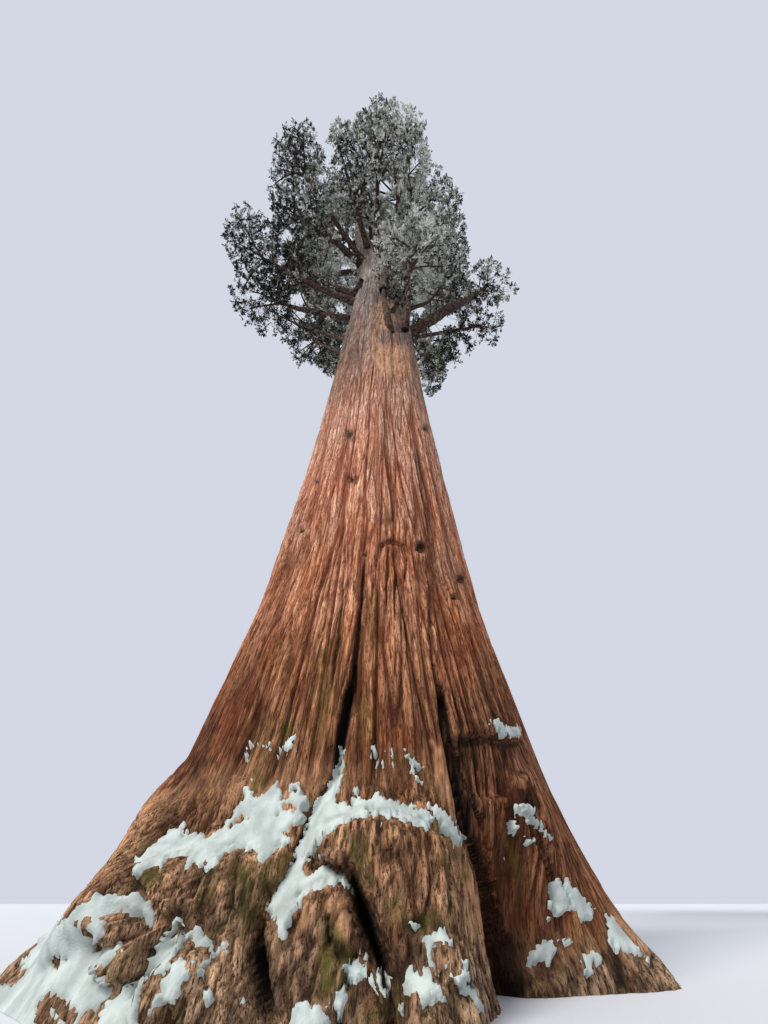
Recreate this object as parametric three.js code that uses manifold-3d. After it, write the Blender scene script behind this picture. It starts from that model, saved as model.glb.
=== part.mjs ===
// A giant sequoia: the whole trunk from a flat cut at ground level to its broken top, the main
// boughs that leave it, and the masses of foliage that make up its crown.
// Millimetres, +Z up. The origin is the middle of the flat cut under the trunk. A bearing of 0
// points to -Y, the side the tree is looked at from, and grows towards +X.
// The sizes below are those of the standing tree in real metres. The model is scaled evenly, so
// that the tree of 83.8 m stands 40 m high.

import * as THREE from 'three';
import { mergeVertices } from 'three/addons/utils/BufferGeometryUtils.js';
import Module from 'manifold-3d';

const REAL_HEIGHT = 83.8;
const MODEL_HEIGHT = 40000;
const METRE = MODEL_HEIGHT / REAL_HEIGHT;
const DEGREE = Math.PI / 180;

// Neighbouring solids lie this far apart, in millimetres of the model.
const GAP = 0.45;

// Trunk: a bole that tapers evenly, a root flare that dies out upwards, and a broken top.
const TRUNK_SIDES = 36;
const BOLE_RADIUS = 2.88;
const BOLE_TAPER = 0.0125;
const FLARE_REACH = 1.75;
const FLARE_HEIGHT = 4.4;
const TOP_TAPER_START = 56;
const TOP_TAPER_LOSS = 1.25;
const TRUNK_TOP = 78.5;
const BROKEN_TOP_RISE = 0.7;
const LEAN_START = 42;
const LEAN_LEFT = 3.9;
const LEAN_FORWARD = 1.9;
const GROUND_RINGS = 9;
const GROUND_RING_TOP = 2.8;
const UPPER_RINGS = 8;
const UPPER_RING_GROWTH = 1.45;

// Buttresses and root lobes: how far each pushes the foot outwards, its half width, the height
// up to which it keeps its full size, and the height over which it then dies out.
const BUTTRESSES = [
  { name: 'left_front_root', bearing: -64, push: 0.72, half: 26, full: 0.15, fade: 0.95 },
  { name: 'left_ledge_root', bearing: -34, push: 0.40, half: 20, full: 1.05, fade: 0.35 },
  { name: 'centre_burl_root', bearing: 11, push: 0.20, half: 12, full: 1.55, fade: 0.30 },
  { name: 'right_front_root', bearing: 64, push: 0.12, half: 12, full: 0.10, fade: 2.20 },
  { name: 'right_far_root', bearing: 72, push: 0.30, half: 10, full: 0.05, fade: 0.75 },
  { name: 'right_back_root', bearing: 104, push: 0.70, half: 17, full: 0.20, fade: 1.20 },
  { name: 'back_right_root', bearing: 146, push: 0.60, half: 20, full: 0.40, fade: 1.60 },
  { name: 'back_root', bearing: 184, push: 0.75, half: 16, full: 0.70, fade: 0.90 },
  { name: 'back_left_root', bearing: 222, push: 0.55, half: 20, full: 0.30, fade: 1.80 },
  { name: 'left_back_root', bearing: 258, push: 0.62, half: 15, full: 0.20, fade: 1.10 },
];

// Hollows in the foot: the flat front and the deep clefts between the root lobes.
const HOLLOWS = [
  { name: 'flat_front', bearing: 12, push: -0.55, half: 42, full: 0.00, fade: 3.00 },
  { name: 'right_face', bearing: 47, push: -0.95, half: 24, full: 0.10, fade: 2.00 },
  { name: 'right_cleft', bearing: 34, push: -0.70, half: 14, full: 0.30, fade: 2.80 },
  { name: 'right_back_cleft', bearing: 86, push: -0.35, half: 8, full: 0.40, fade: 2.00 },
  { name: 'back_cleft', bearing: 166, push: -0.45, half: 8, full: 0.60, fade: 2.60 },
  { name: 'back_left_cleft', bearing: 240, push: -0.40, half: 8, full: 0.50, fade: 2.40 },
];

// Masses of foliage. reach is from the trunk's foot line, height is the middle of the mass, and
// wide, deep and tall are its radii across the bearing, along it and upwards.
const MASSES = [
  { name: 'left_low', bearing: -104, reach: 5.4, height: 34.2, wide: 1.9, deep: 2.2, tall: 1.7 },
  { name: 'left_low_outer', bearing: -98, reach: 8.4, height: 39.5, wide: 2.3, deep: 2.5, tall: 2.1 },
  { name: 'left_inner', bearing: -82, reach: 8.0, height: 47.0, wide: 4.2, deep: 4.2, tall: 5.4 },
  { name: 'left_outer_low', bearing: -93, reach: 11.9, height: 44.6, wide: 3.4, deep: 3.4, tall: 4.2 },
  { name: 'left_outer', bearing: -76, reach: 14.1, height: 50.6, wide: 3.5, deep: 3.1, tall: 4.6 },
  { name: 'left_front_inner', bearing: -58, reach: 10.2, height: 57.2, wide: 5.0, deep: 4.6, tall: 5.9 },
  { name: 'left_front_outer', bearing: -42, reach: 13.6, height: 61.2, wide: 3.3, deep: 3.5, tall: 5.0 },
  { name: 'front_spire', bearing: -22, reach: 12.8, height: 65.4, wide: 2.5, deep: 2.7, tall: 4.4 },
  { name: 'front_outer', bearing: 3, reach: 12.0, height: 63.4, wide: 4.0, deep: 4.0, tall: 6.1 },
  { name: 'front_right_outer', bearing: 18, reach: 11.0, height: 61.0, wide: 2.9, deep: 3.8, tall: 5.4 },
  { name: 'front_inner', bearing: -14, reach: 7.4, height: 65.2, wide: 5.2, deep: 4.4, tall: 7.2 },
  { name: 'right_front', bearing: 38, reach: 7.9, height: 56.8, wide: 3.9, deep: 4.1, tall: 6.1 },
  { name: 'right_upper', bearing: 62, reach: 6.4, height: 51.8, wide: 3.7, deep: 3.7, tall: 5.6 },
  { name: 'near_trunk', bearing: 37, reach: 5.3, height: 41.4, wide: 3.2, deep: 2.8, tall: 4.4 },
  { name: 'right_mid', bearing: 88, reach: 6.6, height: 43.1, wide: 3.1, deep: 3.2, tall: 3.0 },
  { name: 'right_outer', bearing: 87, reach: 11.8, height: 46.0, wide: 2.6, deep: 3.1, tall: 2.7 },
  { name: 'right_low', bearing: 95, reach: 8.8, height: 36.9, wide: 2.4, deep: 2.8, tall: 1.9 },
  { name: 'right_hanging', bearing: 112, reach: 4.7, height: 30.8, wide: 1.8, deep: 2.0, tall: 3.0 },
  { name: 'back_left', bearing: -133, reach: 11.0, height: 54.5, wide: 5.0, deep: 4.6, tall: 6.1 },
  { name: 'back_left_low', bearing: -140, reach: 7.4, height: 45.4, wide: 3.8, deep: 3.7, tall: 4.5 },
  { name: 'back_right', bearing: 146, reach: 10.0, height: 52.8, wide: 4.8, deep: 4.4, tall: 6.1 },
  { name: 'back_outer', bearing: 184, reach: 11.4, height: 60.2, wide: 5.2, deep: 4.5, tall: 6.4 },
  { name: 'back_upper', bearing: -165, reach: 6.4, height: 69.2, wide: 5.0, deep: 4.5, tall: 6.4 },
  { name: 'right_back', bearing: 112, reach: 8.4, height: 61.6, wide: 4.6, deep: 4.2, tall: 6.1 },
  { name: 'left_back', bearing: -101, reach: 10.6, height: 62.8, wide: 4.8, deep: 4.4, tall: 6.3 },
  { name: 'top_left', bearing: -76, reach: 7.2, height: 71.2, wide: 4.2, deep: 3.9, tall: 5.9 },
  { name: 'top_right', bearing: 88, reach: 2.8, height: 72.4, wide: 4.4, deep: 4.4, tall: 6.7 },
  { name: 'top_front', bearing: 34, reach: 6.2, height: 67.6, wide: 4.0, deep: 3.6, tall: 5.9 },
  { name: 'crown_top', bearing: -62, reach: 3.9, height: 79.2, wide: 3.9, deep: 3.9, tall: 5.9 },
];
const MASS_DETAIL = 2;
const SMALL_MASS_DETAIL = 1;
const SMALL_MASS_WIDTH = 3.85;
const LUMP_SIZE = 0.20;
const LUMP_WAVES = 6;

// Main boughs: the mass each one carries, the height and bearing at which it leaves the trunk,
// its thickness there and how far it sags or lifts on the way.
const BOUGHS = [
  { carries: 'left_low', leaves: 26.4, bearing: -98, thick: 0.62, lift: 0.1 },
  { carries: 'left_low_outer', leaves: 29.5, bearing: -92, thick: 0.70, lift: -0.1 },
  { carries: 'left_inner', leaves: 41.0, bearing: -76, thick: 1.60, lift: -0.2 },
  { carries: 'left_outer_low', leaves: 37.2, bearing: -97, thick: 1.20, lift: -0.4 },
  { carries: 'left_front_inner', leaves: 50.5, bearing: -52, thick: 1.50, lift: -0.5 },
  { carries: 'front_inner', leaves: 56.5, bearing: -4, thick: 1.10, lift: -0.8 },
  { carries: 'right_front', leaves: 49.5, bearing: 40, thick: 1.60, lift: -0.6 },
  { carries: 'right_upper', leaves: 45.0, bearing: 66, thick: 1.40, lift: -0.6 },
  { carries: 'near_trunk', leaves: 26.6, bearing: 22, thick: 0.75, lift: -2.6 },
  { carries: 'right_mid', leaves: 36.0, bearing: 72, thick: 0.80, lift: -0.4 },
  { carries: 'right_outer', leaves: 31.0, bearing: 84, thick: 1.90, lift: 0.0 },
  { carries: 'right_low', leaves: 32.4, bearing: 104, thick: 0.80, lift: 0.2 },
  { carries: 'right_hanging', leaves: 35.6, bearing: 116, thick: 0.70, lift: 1.4 },
  { carries: 'back_left', leaves: 46.5, bearing: -130, thick: 1.70, lift: -0.6 },
  { carries: 'back_left_low', leaves: 39.5, bearing: -146, thick: 1.10, lift: -0.3 },
  { carries: 'back_right', leaves: 44.5, bearing: 142, thick: 1.60, lift: -0.6 },
  { carries: 'back_outer', leaves: 51.5, bearing: 180, thick: 1.60, lift: -0.6 },
  { carries: 'back_upper', leaves: 61.0, bearing: -170, thick: 1.10, lift: -0.7 },
  { carries: 'right_back', leaves: 55.0, bearing: 108, thick: 1.40, lift: -0.6 },
  { carries: 'left_back', leaves: 55.5, bearing: -98, thick: 1.40, lift: -0.6 },
  { carries: 'top_left', leaves: 64.0, bearing: -84, thick: 0.90, lift: -0.6 },
];
const BOUGH_SIDES = 6;
const BOUGH_RINGS = 4;
const BOUGH_TIP_SHARE = 0.42;
const COLLAR_SHARE = 0.45;

// Finishes, as sRGB colours.
const BARK = { color: 0x8a4f35, roughness: 0.95, metalness: 0 };
const BOUGH_BARK = { color: 0x6f5a4b, roughness: 0.95, metalness: 0 };
const NEEDLES = { color: 0x4c5a41, roughness: 0.85, metalness: 0 };

// A repeatable stream of numbers between 0 and 1.
function randomStream(seed) {
  let state = seed >>> 0;
  return () => {
    state = (state + 0x6d2b79f5) >>> 0;
    let mixed = Math.imul(state ^ (state >>> 15), 1 | state);
    mixed = (mixed + Math.imul(mixed ^ (mixed >>> 7), 61 | mixed)) ^ mixed;
    return ((mixed ^ (mixed >>> 14)) >>> 0) / 4294967296;
  };
}

// 1 at 0, falling smoothly to 0 at 1 and beyond.
function falloff(share) {
  const held = Math.min(1, Math.max(0, share));
  return 1 - held * held * (3 - 2 * held);
}

// Unit vector of a bearing, level with the ground.
function outward(bearing) {
  return new THREE.Vector3(Math.sin(bearing * DEGREE), -Math.cos(bearing * DEGREE), 0);
}

// A closed geometry with only position and its shared vertices merged.
function welded(geometry) {
  geometry.deleteAttribute('normal');
  geometry.deleteAttribute('uv');
  return mergeVertices(geometry, 1e-4);
}

// How much one root lobe or hollow moves the trunk's side at a height and bearing.
function lobePush(lobe, height, bearing) {
  let turn = Math.abs(bearing - lobe.bearing) % 360;
  turn = Math.min(turn, 360 - turn);
  return lobe.push * falloff(turn / lobe.half) * falloff((height - lobe.full) / lobe.fade);
}

// Distance from the trunk's axis to its side, in real metres.
function trunkRadius(height, bearing) {
  const flare = FLARE_REACH * Math.exp(-height / FLARE_HEIGHT);
  const topShare = Math.max(0, (height - TOP_TAPER_START) / (TRUNK_TOP - TOP_TAPER_START));
  let radius = BOLE_RADIUS - BOLE_TAPER * height + flare - TOP_TAPER_LOSS * topShare ** 1.4;
  for (const lobe of [...BUTTRESSES, ...HOLLOWS]) radius += lobePush(lobe, height, bearing);
  const angle = bearing * DEGREE;
  const fluting = Math.sin(5 * angle + 0.6 * height / 10) + 0.6 * Math.sin(9 * angle + 1.3);
  return radius * (1 + 0.018 * fluting);
}

// Where the trunk's axis stands at a height: upright below, leaning in the upper crown.
function trunkAxis(height) {
  const share = Math.max(0, (height - LEAN_START) / (TRUNK_TOP - LEAN_START));
  const bend = share ** 1.6;
  return new THREE.Vector3(-LEAN_LEFT * bend, -LEAN_FORWARD * bend, height);
}

// Height of a ring: close together in the root flare, further apart up the bole.
function ringHeight(ring) {
  if (ring <= GROUND_RINGS) return GROUND_RING_TOP * ring / GROUND_RINGS;
  const share = (ring - GROUND_RINGS) / UPPER_RINGS;
  return GROUND_RING_TOP + (TRUNK_TOP - GROUND_RING_TOP) * share ** UPPER_RING_GROWTH;
}

// The trunk, grown by a clearance when it serves to cut its neighbours. Its sloping broken top
// rises by three clearances, so that the sideways growth leaves no part of it uncovered.
function trunkGeometry(clearance) {
  const rings = GROUND_RINGS + UPPER_RINGS;
  const geometry = new THREE.CylinderGeometry(1, 1, 1, TRUNK_SIDES, rings);
  const place = geometry.attributes.position;
  for (let i = 0; i < place.count; i += 1) {
    const ring = Math.round((place.getY(i) + 0.5) * rings);
    const height = ringHeight(ring);
    const centre = Math.hypot(place.getX(i), place.getZ(i)) < 0.5;
    const turn = Math.atan2(place.getX(i), place.getZ(i));
    const bearing = turn / DEGREE;
    const radius = centre ? 0 : trunkRadius(height, bearing) * METRE + clearance;
    const axis = trunkAxis(height).multiplyScalar(METRE);
    const splinter = centre ? 0 : BROKEN_TOP_RISE * METRE * (0.5 + 0.5 * Math.sin(2 * turn));
    const rise = ring === rings ? splinter + 3 * clearance : 0;
    place.setXYZ(i, axis.x + radius * Math.sin(turn), axis.y - radius * Math.cos(turn), axis.z + rise);
  }
  return welded(geometry);
}

// Smooth uneven swelling of a mass, different for every seed.
function lumpFunction(seed) {
  const random = randomStream(seed);
  const waves = Array.from({ length: LUMP_WAVES }, () => ({
    along: new THREE.Vector3(random() - 0.5, random() - 0.5, random() - 0.5).normalize(),
    pace: 3.0 + 3.0 * random(),
    phase: 6.28 * random(),
  }));
  return (side) => {
    let sum = 0;
    for (const wave of waves) sum += Math.sin(wave.pace * side.dot(wave.along) + wave.phase);
    return 1 + LUMP_SIZE * sum / Math.sqrt(LUMP_WAVES);
  };
}

// The middle of a mass, in real metres.
function massCentre(mass) {
  return outward(mass.bearing).multiplyScalar(mass.reach).setZ(mass.height);
}

// One mass of foliage, grown by a clearance when it serves to cut its neighbours.
function massGeometry(mass, seed, clearance) {
  const detail = mass.wide < SMALL_MASS_WIDTH ? SMALL_MASS_DETAIL : MASS_DETAIL;
  const geometry = new THREE.IcosahedronGeometry(1, detail);
  const lump = lumpFunction(seed);
  const across = outward(mass.bearing + 90);
  const along = outward(mass.bearing);
  const centre = massCentre(mass).multiplyScalar(METRE);
  const place = geometry.attributes.position;
  const side = new THREE.Vector3();
  for (let i = 0; i < place.count; i += 1) {
    side.fromBufferAttribute(place, i);
    const swell = lump(side) * METRE;
    const grow = swell + clearance / Math.min(mass.wide, mass.deep, mass.tall);
    const point = centre.clone();
    point.addScaledVector(across, side.x * mass.wide * grow);
    point.addScaledVector(along, -side.y * mass.deep * grow);
    point.z += side.z * mass.tall * grow;
    place.setXYZ(i, point.x, point.y, point.z);
  }
  return welded(geometry);
}

// The line of a bough: out from the trunk's axis, then bending up or down into its mass.
function boughCurve(bough) {
  const mass = MASSES.find((entry) => entry.name === bough.carries);
  const start = trunkAxis(bough.leaves);
  const end = massCentre(mass);
  const run = Math.hypot(end.x - start.x, end.y - start.y);
  const side = outward(bough.bearing);
  const first = start.clone().addScaledVector(side, run * 0.45);
  first.z += (end.z - start.z) * 0.22 + bough.lift;
  const second = start.clone().lerp(end, 0.75);
  second.z += bough.lift;
  return new THREE.CubicBezierCurve3(start, first, second, end);
}

// Radius of a bough at a share of its length: a collar at the trunk, then an even taper.
function boughRadius(bough, share) {
  const collar = COLLAR_SHARE * falloff(share / 0.35);
  return 0.5 * bough.thick * (1 - (1 - BOUGH_TIP_SHARE) * share) * (1 + collar);
}

// One bough: a round bar bent along its curve, grown by a clearance when it cuts another.
function boughGeometry(bough, clearance) {
  const curve = boughCurve(bough);
  const frames = curve.computeFrenetFrames(BOUGH_RINGS, false);
  const geometry = new THREE.CylinderGeometry(1, 1, 1, BOUGH_SIDES, BOUGH_RINGS);
  const place = geometry.attributes.position;
  for (let i = 0; i < place.count; i += 1) {
    const ring = Math.round((place.getY(i) + 0.5) * BOUGH_RINGS);
    const share = ring / BOUGH_RINGS;
    const radius = boughRadius(bough, share) * METRE + clearance;
    const point = curve.getPointAt(share).multiplyScalar(METRE);
    point.addScaledVector(frames.binormals[ring], place.getX(i) * radius);
    point.addScaledVector(frames.normals[ring], place.getZ(i) * radius);
    place.setXYZ(i, point.x, point.y, point.z);
  }
  return welded(geometry);
}

const wasm = await Module();
wasm.setup();

// A closed geometry as a solid that can be cut.
function solidOf(geometry) {
  const vertProperties = new Float32Array(geometry.attributes.position.array);
  const triVerts = new Uint32Array(geometry.index.array);
  return new wasm.Manifold(new wasm.Mesh({ numProp: 3, vertProperties, triVerts }));
}

// A cut solid back as a geometry.
function geometryOf(solid) {
  const mesh = solid.getMesh();
  const geometry = new THREE.BufferGeometry();
  geometry.setAttribute('position', new THREE.BufferAttribute(new Float32Array(mesh.vertProperties), 3));
  geometry.setIndex(new THREE.BufferAttribute(new Uint32Array(mesh.triVerts), 1));
  return geometry;
}

// The separate body that scores highest.
function bestBody(solid, score) {
  const bodies = solid.decompose();
  return bodies.reduce((best, body) => (score(body) > score(best) ? body : best));
}

// Shifts the crown's top so that the tree stands exactly at its full height.
function settleCrownTop() {
  const mass = MASSES.find((entry) => entry.name === 'crown_top');
  const geometry = massGeometry(mass, MASSES.indexOf(mass) + 1, 0);
  geometry.computeBoundingBox();
  mass.height += (MODEL_HEIGHT - geometry.boundingBox.max.z) / METRE;
}

// Adds a named sub-part to the tree.
function addPart(group, name, geometry, finish) {
  const mesh = new THREE.Mesh(geometry, new THREE.MeshStandardMaterial(finish));
  mesh.name = name;
  mesh.geometry.computeVertexNormals();
  group.add(mesh);
}

const tree = new THREE.Group();
settleCrownTop();

addPart(tree, 'trunk', trunkGeometry(0), BARK);
const trunkCutter = solidOf(trunkGeometry(GAP));

// Each mass is cut round the trunk and round the masses before it.
let foliageCutter = null;
for (const [index, mass] of MASSES.entries()) {
  let solid = solidOf(massGeometry(mass, index + 1, 0)).subtract(trunkCutter);
  if (foliageCutter) solid = solid.subtract(foliageCutter);
  const body = bestBody(solid, (part) => part.volume());
  addPart(tree, `foliage_${mass.name}`, geometryOf(body), NEEDLES);
  const grown = solidOf(massGeometry(mass, index + 1, GAP));
  foliageCutter = foliageCutter ? foliageCutter.add(grown) : grown;
}

// Each bough starts at the trunk's side and ends where it enters the foliage. A bough that
// leaves the trunk beside another gives way to it.
let boughCutter = trunkCutter.add(foliageCutter);
for (const bough of BOUGHS) {
  const solid = solidOf(boughGeometry(bough, 0)).subtract(boughCutter);
  const foot = trunkAxis(bough.leaves).addScaledVector(outward(bough.bearing), BOLE_RADIUS);
  foot.multiplyScalar(METRE);
  const body = bestBody(solid, (part) => {
    const box = part.boundingBox();
    const near = new THREE.Box3(new THREE.Vector3(...box.min), new THREE.Vector3(...box.max));
    return -near.distanceToPoint(foot);
  });
  addPart(tree, `bough_${bough.carries}`, geometryOf(body), BOUGH_BARK);
  boughCutter = boughCutter.add(solidOf(boughGeometry(bough, GAP)));
}

export default tree;
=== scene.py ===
# %% [markdown]
# A giant sequoia in winter.
# The tree is very old: a trunk as wide as a house, red-brown bark in deep ridges, a foot swollen
# into root lobes with snow on their ledges, and a crown of grey-green sprays high above.
# The trunk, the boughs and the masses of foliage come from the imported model, which fixes where
# everything is. This lesson gives them their looks. All sizes are metres of that model, which
# stands 40 m high.

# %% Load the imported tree
import math
import bmesh
import bpy
import numpy as np
from mathutils import Matrix, Vector
from mathutils.bvhtree import BVHTree


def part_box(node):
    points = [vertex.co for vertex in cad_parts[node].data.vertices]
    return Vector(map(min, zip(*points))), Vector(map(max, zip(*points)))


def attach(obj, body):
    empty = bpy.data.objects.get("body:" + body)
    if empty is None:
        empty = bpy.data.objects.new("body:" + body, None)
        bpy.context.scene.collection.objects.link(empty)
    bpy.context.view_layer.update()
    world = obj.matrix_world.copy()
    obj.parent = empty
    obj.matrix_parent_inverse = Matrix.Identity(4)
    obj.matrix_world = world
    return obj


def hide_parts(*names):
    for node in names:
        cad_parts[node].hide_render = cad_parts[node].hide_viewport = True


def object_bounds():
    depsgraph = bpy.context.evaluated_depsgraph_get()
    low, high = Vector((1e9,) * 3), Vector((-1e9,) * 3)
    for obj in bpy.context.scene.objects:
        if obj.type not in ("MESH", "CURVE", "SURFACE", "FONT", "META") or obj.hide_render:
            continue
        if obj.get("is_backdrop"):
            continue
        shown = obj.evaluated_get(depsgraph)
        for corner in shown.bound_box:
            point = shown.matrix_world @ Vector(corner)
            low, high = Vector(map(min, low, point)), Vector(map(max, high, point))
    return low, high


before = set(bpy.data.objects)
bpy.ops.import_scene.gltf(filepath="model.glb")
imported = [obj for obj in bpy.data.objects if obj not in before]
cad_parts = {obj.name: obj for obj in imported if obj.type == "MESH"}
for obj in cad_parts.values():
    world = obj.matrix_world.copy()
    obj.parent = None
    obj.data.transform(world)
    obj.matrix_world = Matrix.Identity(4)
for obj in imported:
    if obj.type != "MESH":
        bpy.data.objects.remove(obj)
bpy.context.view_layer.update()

scene = bpy.context.scene

# %% [markdown]
# The camera stands close to the foot and looks steeply up through a wide lens. It is made first,
# because many details of the foot are placed by where they show in the photograph. A point of the
# picture and the trunk's own surface together give a place.

# %% The camera of the photograph
PHOTO_WIDTH = 768
PHOTO_HEIGHT = 1024
FOCAL_PIXELS = 370.0
SENSOR_MM = 36.0
CAMERA_PLACE = np.array([0.196, -4.87, 0.406])
CAMERA_PITCH = math.radians(46.5)
AHEAD = np.array([0.0, math.cos(CAMERA_PITCH), math.sin(CAMERA_PITCH)])
UPWARD = np.array([0.0, -math.sin(CAMERA_PITCH), math.cos(CAMERA_PITCH)])

camera_data = bpy.data.cameras.new("photograph_camera")
camera_data.sensor_width = SENSOR_MM
camera_data.lens = SENSOR_MM * FOCAL_PIXELS / PHOTO_HEIGHT
camera_data.clip_end = 500.0
camera = bpy.data.objects.new("photograph_camera", camera_data)
camera.location = CAMERA_PLACE.tolist()
camera.rotation_euler = (math.pi / 2 + CAMERA_PITCH, 0.0, 0.0)
scene.collection.objects.link(camera)
scene.camera = camera
print("lens", round(camera_data.lens, 2), "mm")


def to_pixels(points):
    """Where points of the model show in the photograph's frame."""
    seen = points - CAMERA_PLACE
    depth = seen @ AHEAD
    across = PHOTO_WIDTH / 2 + FOCAL_PIXELS * seen[:, 0] / depth
    down = PHOTO_HEIGHT / 2 - FOCAL_PIXELS * (seen @ UPWARD) / depth
    return across, down


# %% [markdown]
# Bark, snow and foliage are uneven without ever repeating. One noise function on a hashed
# lattice gives all of that unevenness, so the script makes the same tree every time it runs.

# %% Repeatable noise
HASH_FACTORS = (374761393, 668265263, 1442695041)
SEED_FACTOR, MIX_FACTOR = 974711, 1274126177
HASH_MASK = 0xFFFFFFFF
SLOPE_MASK, SLOPE_SHIFTS = 1023, (0, 10, 20)


def noise(points, seed):
    """Smooth noise of about -1 to 1, with one swell for each unit of length."""
    cell = np.floor(points).astype(np.int64)
    part = points - cell
    fade = part ** 3 * (part * (part * 6 - 15) + 10)
    total = np.zeros(len(points))
    for corner in np.ndindex(2, 2, 2):
        mixed = ((cell + corner) * HASH_FACTORS).sum(axis=1)
        mixed = (mixed + seed * SEED_FACTOR) & HASH_MASK
        mixed = ((mixed ^ (mixed >> 13)) * MIX_FACTOR) & HASH_MASK
        mixed = mixed ^ (mixed >> 16)
        slope = np.stack([(mixed >> shift) & SLOPE_MASK for shift in SLOPE_SHIFTS], axis=1)
        rise = ((slope * 2 / SLOPE_MASK - 1) * (part - corner)).sum(axis=1)
        share = np.where(corner, fade, 1 - fade).prod(axis=1)
        total += rise * share
    return total


def smooth_step(value, low, high):
    """0 below low, 1 above high, and a smooth rise between them."""
    share = np.clip((value - low) / (high - low), 0, 1)
    return share * share * (3 - 2 * share)


def ridges(points, size, seed, sharpness=0.30):
    """Rounded ridges, 1 on their backs, with narrow furrows of 0 between them."""
    return smooth_step(np.abs(noise(points / np.array(size), seed)), 0.0, sharpness)


test_points = np.random.default_rng(1).uniform(0, 50, (20000, 3))
print("noise from", noise(test_points, 1).min().round(2), "to", noise(test_points, 1).max().round(2))

# %% [markdown]
# The bark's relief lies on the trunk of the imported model. Its rings of corners are read from the
# node, and a table of the trunk's radius at every bearing and height is made from them. A bearing
# of 0 faces the camera's side and grows towards +X.

# %% The trunk's own shape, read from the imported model
TABLE_STEP = 0.05
TABLE_BEARINGS = 720
TABLE_SMOOTHINGS = 2
LEAN_BEGINS = 15.0
RING_CORNERS = 36
BROKEN_TOP_DEPTH = 0.36
NEAR_AXIS = 0.1

corners = np.array([v.co[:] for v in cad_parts["trunk"].data.vertices])
corners = np.unique(corners.round(4), axis=0)
TOP_RING = corners[:, 2].max() - BROKEN_TOP_DEPTH
ring_heights, ring_middles, ring_radii = [], [], []
level_of = np.where(corners[:, 2] > TOP_RING, TOP_RING, corners[:, 2].round(2))
for level in np.unique(level_of):
    ring = corners[level_of == level]
    middle = ring[:, :2].mean(axis=0)
    middle = middle if level > LEAN_BEGINS else np.zeros(2)
    arm = ring[:, :2] - middle
    reach = np.hypot(arm[:, 0], arm[:, 1])
    arm, reach = arm[reach > NEAR_AXIS], reach[reach > NEAR_AXIS]
    bearing = np.degrees(np.arctan2(arm[:, 0], -arm[:, 1])) % 360
    order = np.argsort(bearing)
    even = np.arange(RING_CORNERS) * 360 / RING_CORNERS
    radii = np.interp(even, bearing[order], reach[order], period=360)
    wave = np.fft.rfft(radii)
    ring_heights.append(level)
    ring_middles.append(middle)
    ring_radii.append(np.fft.irfft(wave, TABLE_BEARINGS) * TABLE_BEARINGS / RING_CORNERS)

ring_heights = np.array(ring_heights)
ring_middles = np.array(ring_middles)
ring_radii = np.array(ring_radii)
table_heights = np.arange(0, TOP_RING + TABLE_STEP, TABLE_STEP)
radius_table = np.stack(
    [np.interp(table_heights, ring_heights, ring_radii[:, i]) for i in range(TABLE_BEARINGS)],
    axis=1,
)
for _ in range(TABLE_SMOOTHINGS):
    radius_table[1:-1] = (radius_table[:-2] + 2 * radius_table[1:-1] + radius_table[2:]) / 4
print("rings", len(ring_heights), "radius at the foot", radius_table[0].min().round(2),
      "to", radius_table[0].max().round(2))


def bole_radius(bearing, height):
    """Distance from the trunk's axis to its smooth side."""
    column = (bearing / 360 * TABLE_BEARINGS) % TABLE_BEARINGS
    row = np.clip(height / TABLE_STEP, 0, len(table_heights) - 1.001)
    left, low = np.floor(column).astype(int), np.floor(row).astype(int)
    right = (left + 1) % TABLE_BEARINGS
    across, up = column - left, row - low
    left = left % TABLE_BEARINGS
    bottom = radius_table[low, left] * (1 - across) + radius_table[low, right] * across
    top = radius_table[low + 1, left] * (1 - across) + radius_table[low + 1, right] * across
    return bottom * (1 - up) + top * up


def bole_middle(height):
    """The trunk's axis, which leans in the upper crown."""
    return np.stack(
        [np.interp(height, ring_heights, ring_middles[:, i]) for i in range(2)], axis=-1
    )


def around_bole(bearing, height, radius):
    """Points at a distance from the trunk's axis."""
    middle = bole_middle(height)
    turn = np.radians(bearing)
    return np.stack(
        [middle[:, 0] + radius * np.sin(turn), middle[:, 1] - radius * np.cos(turn), height],
        axis=1,
    )


# %% [markdown]
# The foot of this tree has shapes of its own: a burl in the middle with a ledge above it, a small
# lobe at its left, a ledge on the left root, a deep cleft at the right, and long cracks that run
# up the bole. Each is outlined by a few points of the photograph, pushed out or pulled in by a
# depth in metres, and rounded at its edge. A push moves the bark itself, so the shape stays where
# it is when the tree is seen from the side.

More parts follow.
